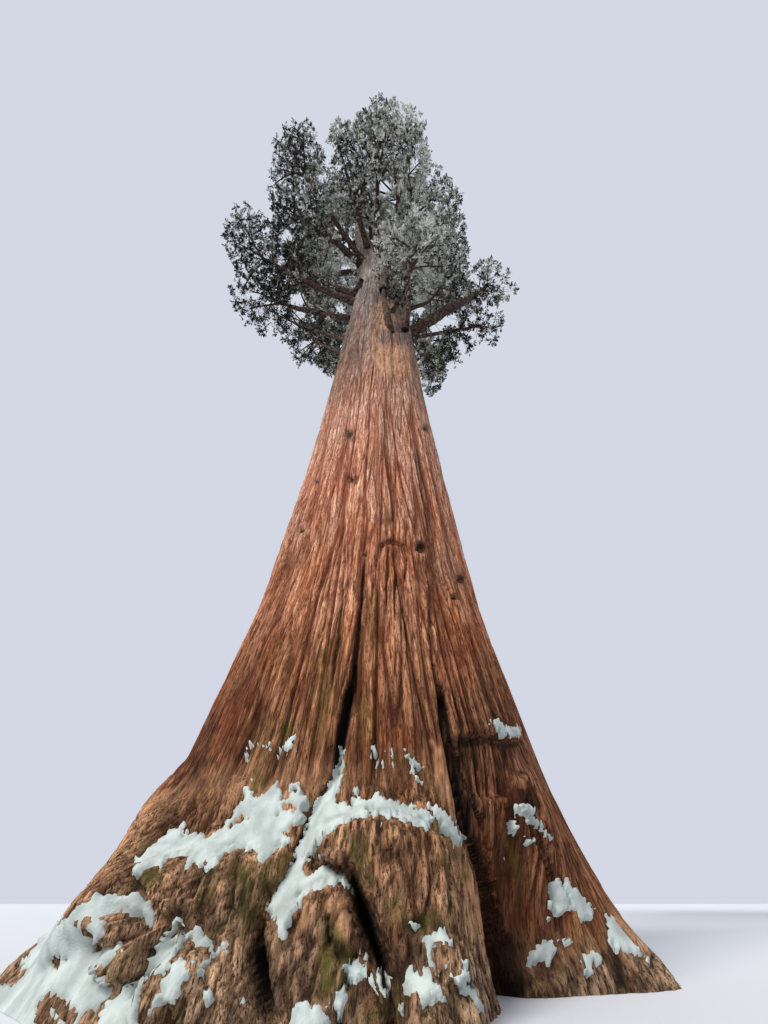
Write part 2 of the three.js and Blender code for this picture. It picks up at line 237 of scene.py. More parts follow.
# %% Lobes and hollows of the foot
# push in metres, roundness of the edge in pixels, and the outline in pixels
LOBES = {
    "centre_burl": (0.15, 17, [(316, 838), (330, 824), (350, 815), (372, 810), (397, 817),
                               (424, 824), (440, 838), (453, 860), (461, 892), (461, 930),
                               (468, 962), (478, 1012), (474, 1040), (400, 1040), (394, 990),
                               (382, 946), (368, 905), (352, 872), (332, 866), (315, 856)]),
    "small_lobe": (0.15, 18, [(300, 900), (314, 884), (338, 878), (349, 886), (356, 905),
                              (361, 928), (360, 950), (350, 972), (343, 1000), (335, 1040),
                              (289, 1040), (279, 1010), (271, 985), (267, 955), (268, 930),
                              (277, 914), (288, 905)]),
    "left_ledge": (0.10, 18, [(150, 864), (190, 852), (235, 846), (262, 849), (290, 843),
                              (296, 854), (284, 878), (266, 905), (257, 930), (256, 962),
                              (262, 1012), (256, 1040), (190, 1040), (180, 990), (200, 960),
                              (190, 930), (170, 915), (155, 900)]),
    "shoulder": (0.06, 14, [(196, 826), (212, 798), (236, 774), (250, 780), (243, 803),
                            (228, 822), (208, 832)]),
    "left_flank": (0.17, 34, [(30, 985), (50, 935), (75, 895), (100, 862), (125, 825), (150, 780),
                              (185, 740), (195, 760), (188, 830), (165, 890), (130, 930),
                              (80, 965)]),
    "left_knob": (0.10, 12, [(100, 936), (104, 920), (116, 912), (132, 913), (140, 925),
                             (128, 944), (110, 948)]),
    "left_knob_foot": (0.07, 12, [(95, 968), (112, 955), (128, 944), (145, 935), (165, 925),
                                  (150, 950), (130, 980), (112, 985), (100, 978)]),
    "left_ridge": (0.08, 14, [(140, 985), (152, 972), (178, 952), (200, 940), (226, 950),
                              (216, 975), (200, 1000), (180, 1040), (140, 1040), (137, 1000)]),
    "front_mound": (0.12, 12, [(338, 1005), (344, 985), (350, 962), (361, 949), (374, 963),
                               (386, 978), (390, 1000), (384, 1040), (340, 1040)]),
    "foot_knob": (0.05, 9, [(424, 940), (432, 932), (444, 931), (454, 945), (460, 975),
                            (440, 980), (430, 965)]),
    "lower_root": (0.05, 9, [(404, 985), (412, 968), (430, 972), (440, 990), (448, 1040),
                             (400, 1040)]),
    "under_ledge": (-0.04, 12, [(444, 735), (452, 730), (463, 734), (474, 729), (485, 735),
                                (496, 732), (507, 740), (516, 736), (526, 740), (534, 765),
                                (516, 800), (484, 806), (458, 790)]),
    "right_cleft": (-0.30, 13, [(470, 840), (476, 866), (481, 900), (482, 935), (489, 968),
                                (500, 1008), (512, 1040), (548, 1040), (534, 1000), (519, 950),
                                (506, 905), (494, 866), (482, 838)]),
    "right_hollow": (-0.07, 14, [(520, 770), (534, 782), (548, 815), (560, 850), (548, 845),
                                 (532, 812)]),
}
print("lobes and hollows", len(LOBES))

# %% Cracks and knots
# depth in metres, half width in pixels, and the line in pixels
CRACKS = {
    "far_root_cleft": (0.16, 6.0, [(598, 896), (606, 915), (612, 935), (616, 960), (620, 1000)]),
    "right_groove": (0.12, 4.0, [(436, 665), (441, 690), (447, 729), (452, 758), (457, 788),
                                 (463, 820), (472, 852), (480, 890)]),
    "right_groove_middle": (0.05, 2.2, [(427, 565), (430, 600), (431, 625), (434, 660), (438, 690),
                                        (442, 715)]),
    "right_groove_top": (0.04, 2.2, [(423, 552), (427, 573), (429, 590)]),
    "right_side_groove": (0.08, 2.6, [(453, 733), (461, 753), (467, 775), (473, 798),
                                      (482, 827), (490, 850)]),
    "centre_crack": (0.15, 6.2, [(354, 662), (351, 682), (347, 705), (342, 728), (339, 748),
                                 (336, 775), (330, 800)]),
    "centre_crack_middle": (0.09, 3.0, [(362, 595), (359, 625), (356, 650), (352, 680),
                                        (348, 700)]),
    "centre_crack_top": (0.08, 2.8, [(367, 545), (364, 570), (361, 600), (360, 625)]),
    "thin_crack": (0.06, 1.8, [(343, 588), (341, 610), (338, 640), (334, 665), (331, 698)]),
    "thin_crack_top": (0.03, 1.4, [(347, 532), (348, 560), (346, 578)]),
    "arch": (0.05, 2.0, [(374, 590), (377, 560), (381, 545), (391, 540), (402, 545),
                         (406, 560), (405, 585)]),
    "arch_rib": (0.05, 1.8, [(389, 548), (388, 575), (386, 604)]),
    "arch_rib_right": (0.05, 1.8, [(397, 550), (396, 580), (394, 634)]),
    "snow_crease": (0.08, 6, [(339, 758), (329, 785), (314, 815), (303, 838), (294, 862),
                              (284, 885)]),
    "burl_cleft": (0.28, 5.5, [(352, 878), (361, 905), (370, 930), (379, 952), (388, 978),
                             (393, 1000)]),
    "burl_cleft_top": (0.08, 4, [(344, 850), (347, 865), (353, 882)]),
    "left_cleft": (0.14, 12, [(260, 922), (261, 945), (260, 968), (264, 992), (276, 1024)]),
    "left_band": (0.08, 9, [(178, 918), (165, 945), (148, 968), (128, 990), (105, 1015)]),
    "root_crack": (0.09, 3.2, [(188, 868), (183, 882), (180, 900), (178, 918)]),
    "ledge_crack": (0.11, 3.0, [(216, 858), (209, 872), (205, 888), (201, 902), (194, 918)]),
    "ledge_crack_right": (0.08, 3.0, [(246, 868), (243, 890), (236, 915), (232, 940)]),
    "lobe_hollow": (0.12, 4.5, [(333, 915), (331, 930), (334, 948), (341, 957)]),
    "burl_groove": (0.04, 2.0, [(452, 880), (455, 910), (457, 945), (460, 985)]),
    "burl_edge_groove": (0.04, 2.0, [(474, 925), (474, 950), (478, 985)]),
    "buttress_valley": (0.07, 3.5, [(527, 795), (540, 835), (549, 865), (556, 900), (560, 930)]),
    "buttress_line": (0.04, 2.4, [(500, 775), (505, 800), (510, 835), (515, 870)]),
    "ledge_shadow": (0.05, 3.4, [(450, 741), (460, 736), (472, 739), (484, 734), (497, 740),
                                 (509, 745), (524, 741)]),
    "ledge_streak": (0.05, 3.0, [(461, 738), (466, 755), (470, 772)]),
    "ledge_streak_right": (0.05, 3.0, [(505, 742), (509, 756), (512, 775)]),
    "flank_crack": (0.05, 2.2, [(498, 680), (506, 705), (512, 722)]),
    "upper_groove": (0.06, 2.2, [(414, 430), (420, 470), (426, 500), (430, 525), (434, 555),
                                 (440, 580), (452, 597)]),
    "upper_groove_left": (0.05, 2.0, [(383, 390), (386, 440), (392, 490), (396, 530)]),
}
# place and half width in pixels, and depth in metres
KNOTS = [(421, 547, 4.2, 0.16), (350, 435, 2.4, 0.04), (352, 479, 3.0, 0.04), (316, 481, 2.5, 0.02),
         (365, 552, 3.2, 0.05), (461, 579, 3.2, 0.06), (301, 531, 3.0, 0.05), (454, 598, 3, 0.05),
         (346, 488, 1.2, 0.03), (338, 502, 1.2, 0.03), (427, 428, 4.5, 0.05)]
print("cracks", len(CRACKS), "knots", len(KNOTS))

# %% Distances to lines and outlines
NEAR_OUTLINE = 20
CRACK_TAPER, CRACK_END = 40.0, 0.35


def line_distance(across, down, points, closed):
    """Distance in pixels to a line through points, and whether a spot is inside it."""
    spots = np.array(points, float)
    ends = np.roll(spots, -1, axis=0) if closed else spots[1:]
    nearest = np.full(len(across), 1e9)
    inside = np.zeros(len(across), bool)
    for (x0, y0), (x1, y1) in zip(spots, ends):
        run, rise = x1 - x0, y1 - y0
        share = ((across - x0) * run + (down - y0) * rise) / (run * run + rise * rise)
        share = np.clip(share, 0, 1)
        gap = np.hypot(across - x0 - share * run, down - y0 - share * rise)
        nearest = np.minimum(nearest, gap)
        if closed and y0 != y1:
            crosses = (y0 > down) != (y1 > down)
            inside ^= crosses & (across < x0 + (down - y0) / (y1 - y0) * run)
    return nearest, inside


def inside_depth(across, down, outline):
    """How many pixels a spot lies inside an outline, and less than 0 outside."""
    depth = np.full(len(across), -1e3)
    xs, ys = zip(*outline)
    near = (across > min(xs) - NEAR_OUTLINE) & (across < max(xs) + NEAR_OUTLINE)
    near &= (down > min(ys) - NEAR_OUTLINE) & (down < max(ys) + NEAR_OUTLINE)
    gap, inside = line_distance(across[near], down[near], outline, True)
    depth[near] = np.where(inside, gap, -gap)
    return depth


def crack_notch(across, down, wide, points):
    """1 in the middle of a crack, 0 beside it. A crack narrows towards both of its ends."""
    gap, _ = line_distance(across, down, points, False)
    ends = [np.hypot(across - x, down - y) for x, y in (points[0], points[-1])]
    taper = CRACK_END + (1 - CRACK_END) * smooth_step(np.minimum(*ends), 0, CRACK_TAPER)
    return np.exp(-(gap / (wide * taper)) ** 2) * taper


print("a spot of the burl lies inside by",
      inside_depth(np.array([400]), np.array([900]), LOBES["centre_burl"][2]).round(1), "pixels")

# %% From outlines to a push of the bark
FRONT_HALF = 112.0
SHAPES_TOP = 9.5
# deep hollows, cracks and knots are darkened as painted shade
CRACK_DARK, FULLY_DARK_DEPTH = (0.30, 0.90), 0.10
DARK_HOLLOW = -0.2
BROAD_LOBE = 25
SIDE_WANDER, SIDE_WANDER_SIZE = 3.2, np.array([0.10, 0.10, 0.25])
DOWN_WANDER, DOWN_WANDER_SIZE = 4.0, 0.12
FACING_SQUARELY = (0.08, 0.30)
FACING_AT_ALL = (-0.30, 0.05)


def turned_to_camera(place, bearing):
    """Above 0 where the bark faces the camera, and 1 where it faces it squarely."""
    turn = np.radians(bearing)
    gap = (CAMERA_PLACE - place)[:, :2]
    gap /= np.linalg.norm(gap, axis=1, keepdims=True)
    return gap[:, 0] * np.sin(turn) - gap[:, 1] * np.cos(turn)


def in_front(bearing):
    """Whether a bearing is on the side that the photograph shows."""
    return np.abs((bearing + 180) % 360 - 180) < FRONT_HALF


def foot_shapes(bearing, height):
    """Push of the lobes and cracks in metres, and painted shade in hollows, cracks and knots, 0 to 1.
    """
    push = np.zeros(len(height))
    cleft = np.zeros(len(height))
    front = in_front(bearing) & (height < SHAPES_TOP)
    if not front.any():
        return push, cleft
    place = around_bole(bearing[front], height[front], bole_radius(bearing[front], height[front]))
    across, down = to_pixels(place)
    across += SIDE_WANDER * noise(place / SIDE_WANDER_SIZE, 31) * smooth_step(down, 500, 700)
    down += DOWN_WANDER * noise(place / DOWN_WANDER_SIZE, 32) * smooth_step(down, 600, 760)
    facing = turned_to_camera(place, bearing[front])
    squarely = smooth_step(facing, *FACING_SQUARELY)
    moved = np.zeros(len(across))
    dark = np.zeros(len(across))
    for depth, soft, outline in LOBES.values():
        share = np.clip(inside_depth(across, down, outline) / soft, 0, 1)
        swells = soft < BROAD_LOBE and depth > 0
        rounded = np.sqrt(1 - (1 - share) ** 2) if swells else smooth_step(share, 0, 1)
        moved += depth * rounded
        # the deepest hollows, and then the cracks and knots, get painted shade
        if depth < DARK_HOLLOW:
            dark = np.maximum(dark, rounded)
    for depth, wide, points in CRACKS.values():
        notch = crack_notch(across, down, wide, points) * squarely
        moved -= depth * notch
        deep = min(1.0, depth / FULLY_DARK_DEPTH)
        dark = np.maximum(dark, smooth_step(notch, *CRACK_DARK) * deep)
    for x, y, wide, depth in KNOTS:
        notch = np.exp(-(np.hypot(across - x, (down - y) * 1.2) / wide) ** 2) * squarely
        moved -= depth * notch
        dark = np.maximum(dark, notch)
    seen = smooth_step(facing, *FACING_AT_ALL)
    push[front] = moved * seen
    cleft[front] = dark * seen
    return push, cleft


print("push of the foot at 1 m, in metres",
      foot_shapes(np.arange(-90.0, 91, 30), np.ones(7))[0].round(3))

# %% [markdown]
# Sequoia bark is soft and fibrous. On the bole it stands in long rounded ridges a hand wide, with
# narrow furrows that wander, join and fade. On the burls of the foot it is shorter and grainier.
# Three layers of ridges do this: broad plates, the ridges and the strands on them. Each layer is
# noise that is stretched upwards, and the sizes are those of the real bark times the model's scale.
# In a cleft the relief fades out, because its steep walls have no room for it in the mesh.

# %% Relief of the bark
MODEL_SCALE = 40.0 / 83.8
# plates, ridges and strands: real width and length in metres, depth in the model, and the
# narrowness and darkness of the furrows between them, a darker tone that is partly painted shade
BARK_LAYERS = [(0.62, 11.0, 0.040, 0.10, 0.85), (0.25, 3.6, 0.026, 0.13, 0.80),
               (0.11, 1.2, 0.013, 0.24, 0.60)]
RIDGE_LEVEL = 0.85
# size in metres, depth, level of the backs, narrowness and darkness of the grooves between them,
# whose darkness is partly painted shade
FLAKE_SIZE, *FLAKE = (0.045, 0.045, 0.15), 0.016, 0.7, 0.25, 0.80
SPLIT_SIZE, *SPLIT = (0.16, 0.16, 0.55), 0.028, 0.85, 0.09, 0.85
SWAY, SWAY_SIZE = 0.05, np.array([0.6, 0.6, 1.1])
BED, BED_SIZE = 0.05, np.array([0.9, 0.9, 3.0])
SWELLING, SWELLING_SIZE = 0.026, np.array([0.30, 0.30, 0.38])
CALM_IN_CLEFTS, CALM_ON_BURLS = 0.90, 0.85
BURL_TOP, BURL_TOP_SWING, BURL_TOP_SIZE = 0.95, 0.30, 0.9
RIGHT_BURL_DROP = 0.75
BARK_REACH = 1.9


def up_the_bark(bearing, height, offset=0.0):
    """Coordinates that follow the trunk's taper, so the furrows run up it side by side."""
    turn, reach = np.radians(bearing), BARK_REACH + offset
    return np.stack([reach * np.sin(turn), -reach * np.cos(turn), height], axis=1)


def stand_off(place, bearing):
    """How far a spot of the bark stands out from the trunk's smooth side."""
    middle = bole_middle(place[:, 2])
    reach = np.hypot(place[:, 0] - middle[:, 0], place[:, 1] - middle[:, 1])
    return reach - bole_radius(bearing, place[:, 2])


def burl_share(place, bearing):
    """1 on the grainy burls of the foot, 0 on the ridged bole."""
    top = BURL_TOP + BURL_TOP_SWING * noise(place / BURL_TOP_SIZE, 41)
    top -= RIGHT_BURL_DROP * smooth_step(bearing, 18, 30) * smooth_step(bearing, 110, 80)
    return 1 - smooth_step(place[:, 2], top - 0.15, top + 0.25)


def bark(bearing, height, fine=True):
    """Place of the bark, its furrows' dark tone and painted shade, its clefts' painted shade, and burl
    share.
    """
    radius = bole_radius(bearing, height)
    push, cleft = foot_shapes(bearing, height)
    place = around_bole(bearing, height, radius + push)
    burl = burl_share(place, np.where(in_front(bearing), (bearing + 180) % 360 - 180, 0.0))
    level = up_the_bark(bearing, height, push)
    sway = SWAY * noise(level / SWAY_SIZE, 42)[:, None] * np.array([1, 1, 0])
    offset = BED * noise(place / BED_SIZE, 50) * (1 - burl)
    offset += SWELLING * noise(place / SWELLING_SIZE, 54) * burl
    shade = np.zeros(len(height))
    if fine:
        smooth_wall = 1 - CALM_IN_CLEFTS * cleft
        calm = (1 - CALM_ON_BURLS * burl) * smooth_wall
        for number, (width, length, depth, narrow, dark) in enumerate(BARK_LAYERS):
            size = np.array([width, width, length]) * MODEL_SCALE
            ridge = ridges(level + sway, size, 52 + number, narrow)
            offset += depth * (ridge - RIDGE_LEVEL) * calm
            # the furrows' darker tone, partly painted shade
            shade = np.maximum(shade, (1 - ridge) * dark * calm)
        grainy = np.zeros(len(height))
        for spots, size, seed, (depth, back, narrow, dark) in (
                (place, FLAKE_SIZE, 57, FLAKE), (place + sway, SPLIT_SIZE, 58, SPLIT)):
            ridge = ridges(spots, size, seed, narrow)
            grainy += depth * (ridge - back)
            # the burl's grooves are darkened the same way, partly as painted shade
            shade = np.maximum(shade, dark * (1 - ridge) * burl)
        offset += grainy * burl * smooth_wall
    place = around_bole(bearing, height, radius + push + offset)
    place[:, 2] = height
    return place, np.clip(shade, 0, 1), np.clip(cleft, 0, 1), burl


around = np.arange(0.0, 360, 2)
relief = stand_off(bark(around, np.full(180, 5.0))[0], around)
print("at 5 m the bark stands out by", relief.min().round(3), "to", relief.max().round(3), "m")

# %% [markdown]
# The bark is one skin round the trunk. Each stretch of it starts as a flat grid from Blender's own
# operator, and every corner of the grid is then moved to its place on the bark. The camera's side
# of the foot has corners 16 mm apart, and the stretches further up and behind have fewer. The
# stretches share their edges, so no gap shows between them.

# %% Grids that become bark


def shaped_grid(name, columns, rows, shape, attributes=(), close=False):
    """A grid whose corners `shape` moves into place. close joins its left and right edges."""
    grid = bmesh.new()
    bmesh.ops.create_grid(grid, x_segments=columns, y_segments=rows, size=1.0)
    mesh = bpy.data.meshes.new(name)
    grid.to_mesh(mesh)
    grid.free()
    flat = np.empty(len(mesh.vertices) * 3)
    mesh.vertices.foreach_get("co", flat)
    flat = flat.reshape(-1, 3)
    place, *values = shape((flat[:, 0] + 1) / 2, (flat[:, 1] + 1) / 2)
    mesh.vertices.foreach_set("co", place.ravel())
    for title, value in zip(attributes, values):
        kind, field = ("FLOAT", "value") if value.ndim == 1 else ("FLOAT_VECTOR", "vector")
        layer = mesh.attributes.new(title, kind, "POINT")
        layer.data.foreach_set(field, value.astype(np.float32).ravel())
    if close:
        whole = bmesh.new()
        whole.from_mesh(mesh)
        bmesh.ops.remove_doubles(whole, verts=whole.verts, dist=1e-5)
        whole.to_mesh(mesh)
        whole.free()
    mesh.update()
    mesh.shade_smooth()
    return mesh


def add_piece(name, mesh, material, nodes):
    """Links a finished mesh as a piece of the tree that stands for nodes of the model."""
    piece = bpy.data.objects.new(name, mesh)
    scene.collection.objects.link(piece)
    mesh.materials.append(material)
    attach(piece, "root")
    if nodes:
        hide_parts(*nodes)
    mesh.calc_loop_triangles()
    print(name, len(mesh.loop_triangles), "triangles")


# %% [markdown]
# Bark is a matt, dry fibre that scatters light and has no gloss. Its colour changes with height:
# purple-brown and mossy where the foot stays wet, red-brown above, then orange-tan, partly as painted
# light, and pale grey-brown in the crown, lightened there as painted light on a trunk that the crown
# shades. Furrows are darker, partly in their own tone and partly as painted shade.

# %% Functions for colours and nodes
MIX, RANGE, MATHS = "ShaderNodeMix", "ShaderNodeMapRange", "ShaderNodeMath"
NOISE, RAMP, BUMP = "ShaderNodeTexNoise", "ShaderNodeValToRGB", "ShaderNodeBump"
BLEND = {"data_type": "RGBA"}
PLUS, MINUS, TIMES = ({"operation": name} for name in ("ADD", "SUBTRACT", "MULTIPLY"))


def colour(code):
    """An sRGB hex colour as Blender's linear colour."""
    parts = [int(code[i:i + 2], 16) / 255 for i in (1, 3, 5)]
    linear = [p / 12.92 if p <= 0.04045 else ((p + 0.055) / 1.055) ** 2.4 for p in parts]
    return (*linear, 1.0)


def set_stops(band, stops):
    """Gives a ramp its sRGB hex colours at their places."""
    while len(band.elements) < len(stops):
        band.elements.new(0.5)
    for element, (place, code) in zip(band.elements, stops):
        element.position = place
        element.color = colour(code)


def add_node(tree, kind, settings=None, out=0):
    """Adds a node and gives one of its outputs. A property or socket is set to a value, a colour
    or a ramp's stops, or a socket is linked to the output of another node."""
    node = tree.nodes.new(kind)
    for name, value in (settings or {}).items():
        if name == "stops":
            set_stops(node.color_ramp, value)
        elif isinstance(name, str) and hasattr(node, name):
            setattr(node, name, value)
        elif isinstance(value, bpy.types.NodeSocket):
            tree.links.new(value, node.inputs[name])
        else:
            node.inputs[name].default_value = colour(value) if isinstance(value, str) else value
    return node.outputs[out]


print("brown of the bark, linear", [round(part, 3) for part in colour("#8a5238")])

# %% Mottled finishes


def new_material(name, base, roughness):
    """A material with its Principled shader set to a base colour and roughness."""
    material = bpy.data.materials.new(name)
    material.use_nodes = True
    shader = material.node_tree.nodes["Principled BSDF"]
    shader.inputs["Base Color"].default_value = colour(base)
    shader.inputs["Roughness"].default_value = roughness
    return material, material.node_tree, shader


def mottled(name, roughness, gloss, spots, stops, relief=None):
    """A matt finish. A noise with some spots to the metre and some detail runs through a ramp of
    colours, and another noise, with its strength and its height in metres, gives the relief."""
    material, tree, shader = new_material(name, stops[0][1], roughness)
    shader.inputs["Specular IOR Level"].default_value = gloss
    where = add_node(tree, "ShaderNodeTexCoord", out="Object")
    shade = add_node(tree, NOISE, {"Scale": spots[0], "Detail": spots[1], "Vector": where})
    shade = add_node(tree, RAMP, {"stops": stops, "Fac": shade})
    tree.links.new(shade, shader.inputs["Base Color"])
    if relief:
        scale, detail, strength, distance = relief
        rise = add_node(tree, NOISE, {"Scale": scale, "Detail": detail, "Vector": where})
        bump = add_node(tree, BUMP, {"Strength": strength, "Distance": distance, "Height": rise})
        tree.links.new(bump, shader.inputs["Normal"])
    print(name, len(tree.nodes), "nodes")
    return material


# %% Colours and patterns of the bark
bark_layers = ("furrow", "cleft", "moss", "burl", "bare", "up_the_bark")
COLOUR_TOP = 20.0
BOLE_COLOUR_FROM = 1.5
# colours by height: the orange-tan stops are lightened partly as painted light, and the last stops,
# toward 20 m and above, as painted light on the trunk inside the crown
RIDGE_COLOURS = [(0.0, "#deb792"), (0.022, "#efbd92"), (0.045, "#ebb083"), (0.075, "#c08660"),
                 (0.10, "#dc9c72"), (0.125, "#eaac84"), (0.21, "#fac2a0"), (0.36, "#f8ccb1"),
                 (0.45, "#dfb59c"), (0.55, "#c4a591"), (0.75, "#b8a296"), (1.0, "#d2c2b6")]
MIDDLE_COLOURS = [(0.0, "#785942"), (0.022, "#9c6c4c"), (0.045, "#9c6a46"), (0.08, "#8c4e30"),
                  (0.10, "#ab633e"), (0.125, "#ca7d54"), (0.21, "#e79c74"), (0.36, "#efb497"),
                  (0.45, "#c4927b"), (0.55, "#937263"), (0.75, "#877069"), (1.0, "#a3938a")]
# the dark tone of fissures, gaps and furrows; in the furrows it is partly painted shade
HOLLOW_COLOURS = [(0.0, "#24170d"), (0.04, "#2a1408"), (0.08, "#36170b"), (0.14, "#56230f"),
                  (0.24, "#783b22"), (0.38, "#865038"), (0.55, "#5a3d30"), (0.80, "#463a33"),
                  (1.0, "#6e6158")]
# Widths are metres of the model: 0.012 is a bundle of fibres 25 mm wide on the real tree, and
# 0.034 is a strand of 70 mm. True fibres of under 1 mm are too fine to show.
# fibres: width, stretch upwards and darkness of the gaps, first on the bole and then on the burls
GRAINS = [(0.012, 0.15, 0.85, 0.012, 0.32, 0.90), (0.034, 0.085, 0.75, 0.026, 0.24, 0.80)]
GAPS_ON_BOLE, GAPS_ON_BURLS = {"From Min": 0.50, "From Max": 0.36}, {"From Min": 0.49, "From Max": 0.37}
# long fissures: spacing, stretch, thinness and darkness
LINES = [(0.150, 0.09, 0.014, 0.85), (0.060, 0.10, 0.020, 0.75)]
# broad patterns: size, stretch, detail, where the noise begins and is full, and strength
PATTERNS = {"worn": (0.50, 0.5, 6.0, 0.40, 0.60, 1.0), "crests": (0.055, 0.14, 4.0, 0.50, 0.66, 0.9),
            "streaks": (0.045, 0.20, 4.0, 0.34, 0.50, 1.0), "scabs": (0.11, 0.5, 5.0, 0.54, 0.62, 0.60),
            "stains": (0.30, 0.7, 6.0, 0.44, 0.34, 0.60)}
UNEVEN_SIZE, UNEVEN_STRETCH, UNEVEN_SHARE = 0.40, 0.10, 0.9
SCABS_LOW = {"From Min": 0.22, "From Max": 0.12}
# the pale colour is bare wood, and also painted light on faces that the sun catches
SCAB_COLOUR, STAIN_COLOUR, BARE_AND_LIT_COLOUR = "#6a3722", "#3d2819", "#cf9c74"
# the near-black colour is painted shade in clefts, cracks, knots, under ledges and on the shaded side
MOSS_COLOUR, CLEFT_SHADE_COLOUR = "#5c5724", "#0d0604"
STRAND_RELIEF, FIBRE_RELIEF = 0.030, 0.014
print("broad patterns", list(PATTERNS))

# %% The finish of fibrous sequoia bark


def sequoia_bark(name):
    """Matt fibrous bark with thin dark fissures, which changes colour with height."""
    material, tree, shader = new_material(name, "#8a5238", 0.95)
    shader.inputs["Specular IOR Level"].default_value = 0.15
    where = add_node(tree, "ShaderNodeTexCoord", out="Object")
    height = add_node(tree, "ShaderNodeSeparateXYZ", {"Vector": where}, out="Z")
    height = add_node(tree, RANGE, {"From Max": COLOUR_TOP, "Value": height})
    furrow, cleft, moss, burl, bare = (
        add_node(tree, "ShaderNodeAttribute", {"attribute_name": title}, out="Fac")
        for title in bark_layers[:5])
    upwards = add_node(tree, "ShaderNodeAttribute", {"attribute_name": bark_layers[5]}, out="Vector")

    def grain(width, stretch, detail=4.0, where=upwards):
        long = add_node(tree, "ShaderNodeMapping", {"Scale": (1.0, 1.0, stretch), "Vector": where})
        return add_node(tree, NOISE, {"Scale": 1 / width, "Detail": detail, "Roughness": 0.65,
                                      "Vector": long})

    def pattern(title, where=upwards):
        size, stretch, detail, low, high, strength = PATTERNS[title]
        return add_node(tree, RANGE, {"From Min": low, "From Max": high, "To Max": strength,
                                      "Value": grain(size, stretch, detail, where)})

    bole = add_node(tree, MATHS, {**MINUS, 0: 1.0, 1: burl})
    uneven = add_node(tree, MATHS, {**MINUS, 0: grain(UNEVEN_SIZE, UNEVEN_STRETCH), 1: 0.5})
    swing = add_node(tree, MATHS, {**TIMES, 0: height, 1: UNEVEN_SHARE})
    uneven = add_node(tree, MATHS, {**TIMES, 0: uneven, 1: swing})
    height = add_node(tree, MATHS, {**PLUS, 0: height, 1: uneven})
    least = add_node(tree, MATHS, {**TIMES, 0: bole, 1: BOLE_COLOUR_FROM / COLOUR_TOP})
    height = add_node(tree, MATHS, {"operation": "MAXIMUM", 0: height, 1: least})
    ridge, middle, hollow = (add_node(tree, RAMP, {"stops": stops, "Fac": height})
                             for stops in (RIDGE_COLOURS, MIDDLE_COLOURS, HOLLOW_COLOURS))
    streaks = pattern("streaks")
    base = add_node(tree, MIX, {**BLEND, 0: pattern("worn"), 6: ridge, 7: middle}, out=2)
    base = add_node(tree, MIX, {**BLEND, 0: pattern("crests"), 6: base, 7: ridge}, out=2)
    reliefs = []
    for width, stretch, strength, burl_width, burl_stretch, burl_strength in GRAINS:
        fibres = [grain(width, stretch), grain(burl_width, burl_stretch, 4.0, where)]
        gaps = [add_node(tree, RANGE, {**GAPS_ON_BOLE, "To Max": strength, "Value": fibres[0]}),
                add_node(tree, RANGE, {**GAPS_ON_BURLS, "To Max": burl_strength, "Value": fibres[1]})]
        for pair in (gaps, fibres):
            on_bole = add_node(tree, MATHS, {**TIMES, 0: pair[0], 1: bole})
            on_burl = add_node(tree, MATHS, {**TIMES, 0: pair[1], 1: burl})
            pair.append(add_node(tree, MATHS, {**PLUS, 0: on_bole, 1: on_burl}))
        base = add_node(tree, MIX, {**BLEND, 0: gaps[2], 6: base, 7: hollow}, out=2)
        reliefs.append(fibres[2])
    for width, stretch, thin, strength in LINES:
        off = add_node(tree, MATHS, {**MINUS, 0: grain(width, stretch, 3.0), 1: 0.5})
        off = add_node(tree, MATHS, {"operation": "ABSOLUTE", 0: off})
        line = add_node(tree, RANGE, {"From Min": thin, "From Max": 0.0, "To Max": strength,
                                      "Value": off})
        line = add_node(tree, MATHS, {**TIMES, 0: line, 1: bole})
        base = add_node(tree, MIX, {**BLEND, 0: line, 6: base, 7: hollow}, out=2)
    low_down = add_node(tree, RANGE, {**SCABS_LOW, "Value": height})
    low_down = add_node(tree, MATHS, {**TIMES, 0: low_down, 1: bole})
    scabs, stains, bare, moss = (
        add_node(tree, MATHS, {**TIMES, 0: share, 1: part})
        for share, part in ((pattern("scabs"), low_down), (pattern("stains", where), burl),
                            (bare, streaks), (moss, streaks)))
    # the cleft colour is painted shade, and the furrows' dark tone is partly painted shade
    for share, over in ((scabs, SCAB_COLOUR), (stains, STAIN_COLOUR), (furrow, hollow),
                        (bare, BARE_AND_LIT_COLOUR), (moss, MOSS_COLOUR), (cleft, CLEFT_SHADE_COLOUR)):
        base = add_node(tree, MIX, {**BLEND, 0: share, 6: base, 7: over}, out=2)
    tree.links.new(base, shader.inputs["Base Color"])
    coarse = add_node(tree, BUMP, {"Strength": 1.0, "Distance": STRAND_RELIEF, "Height": reliefs[1]})
    fine = add_node(tree, BUMP, {"Strength": 1.0, "Distance": FIBRE_RELIEF, "Height": reliefs[0],
                                 "Normal": coarse})
    tree.links.new(fine, shader.inputs["Normal"])
    return material


trunk_bark = sequoia_bark("fibrous_sequoia_bark")
print("bark material nodes", len(trunk_bark.node_tree.nodes))

# %% [markdown]
# Moss, damp, shade and bare wood show in places of their own in the photograph. They are outlined
# there like the lobes, and kept as values on the corners of the skin for its material to read. The
# shade is painted shade that darkens the bark, and lit faces are painted paler like bare wood.

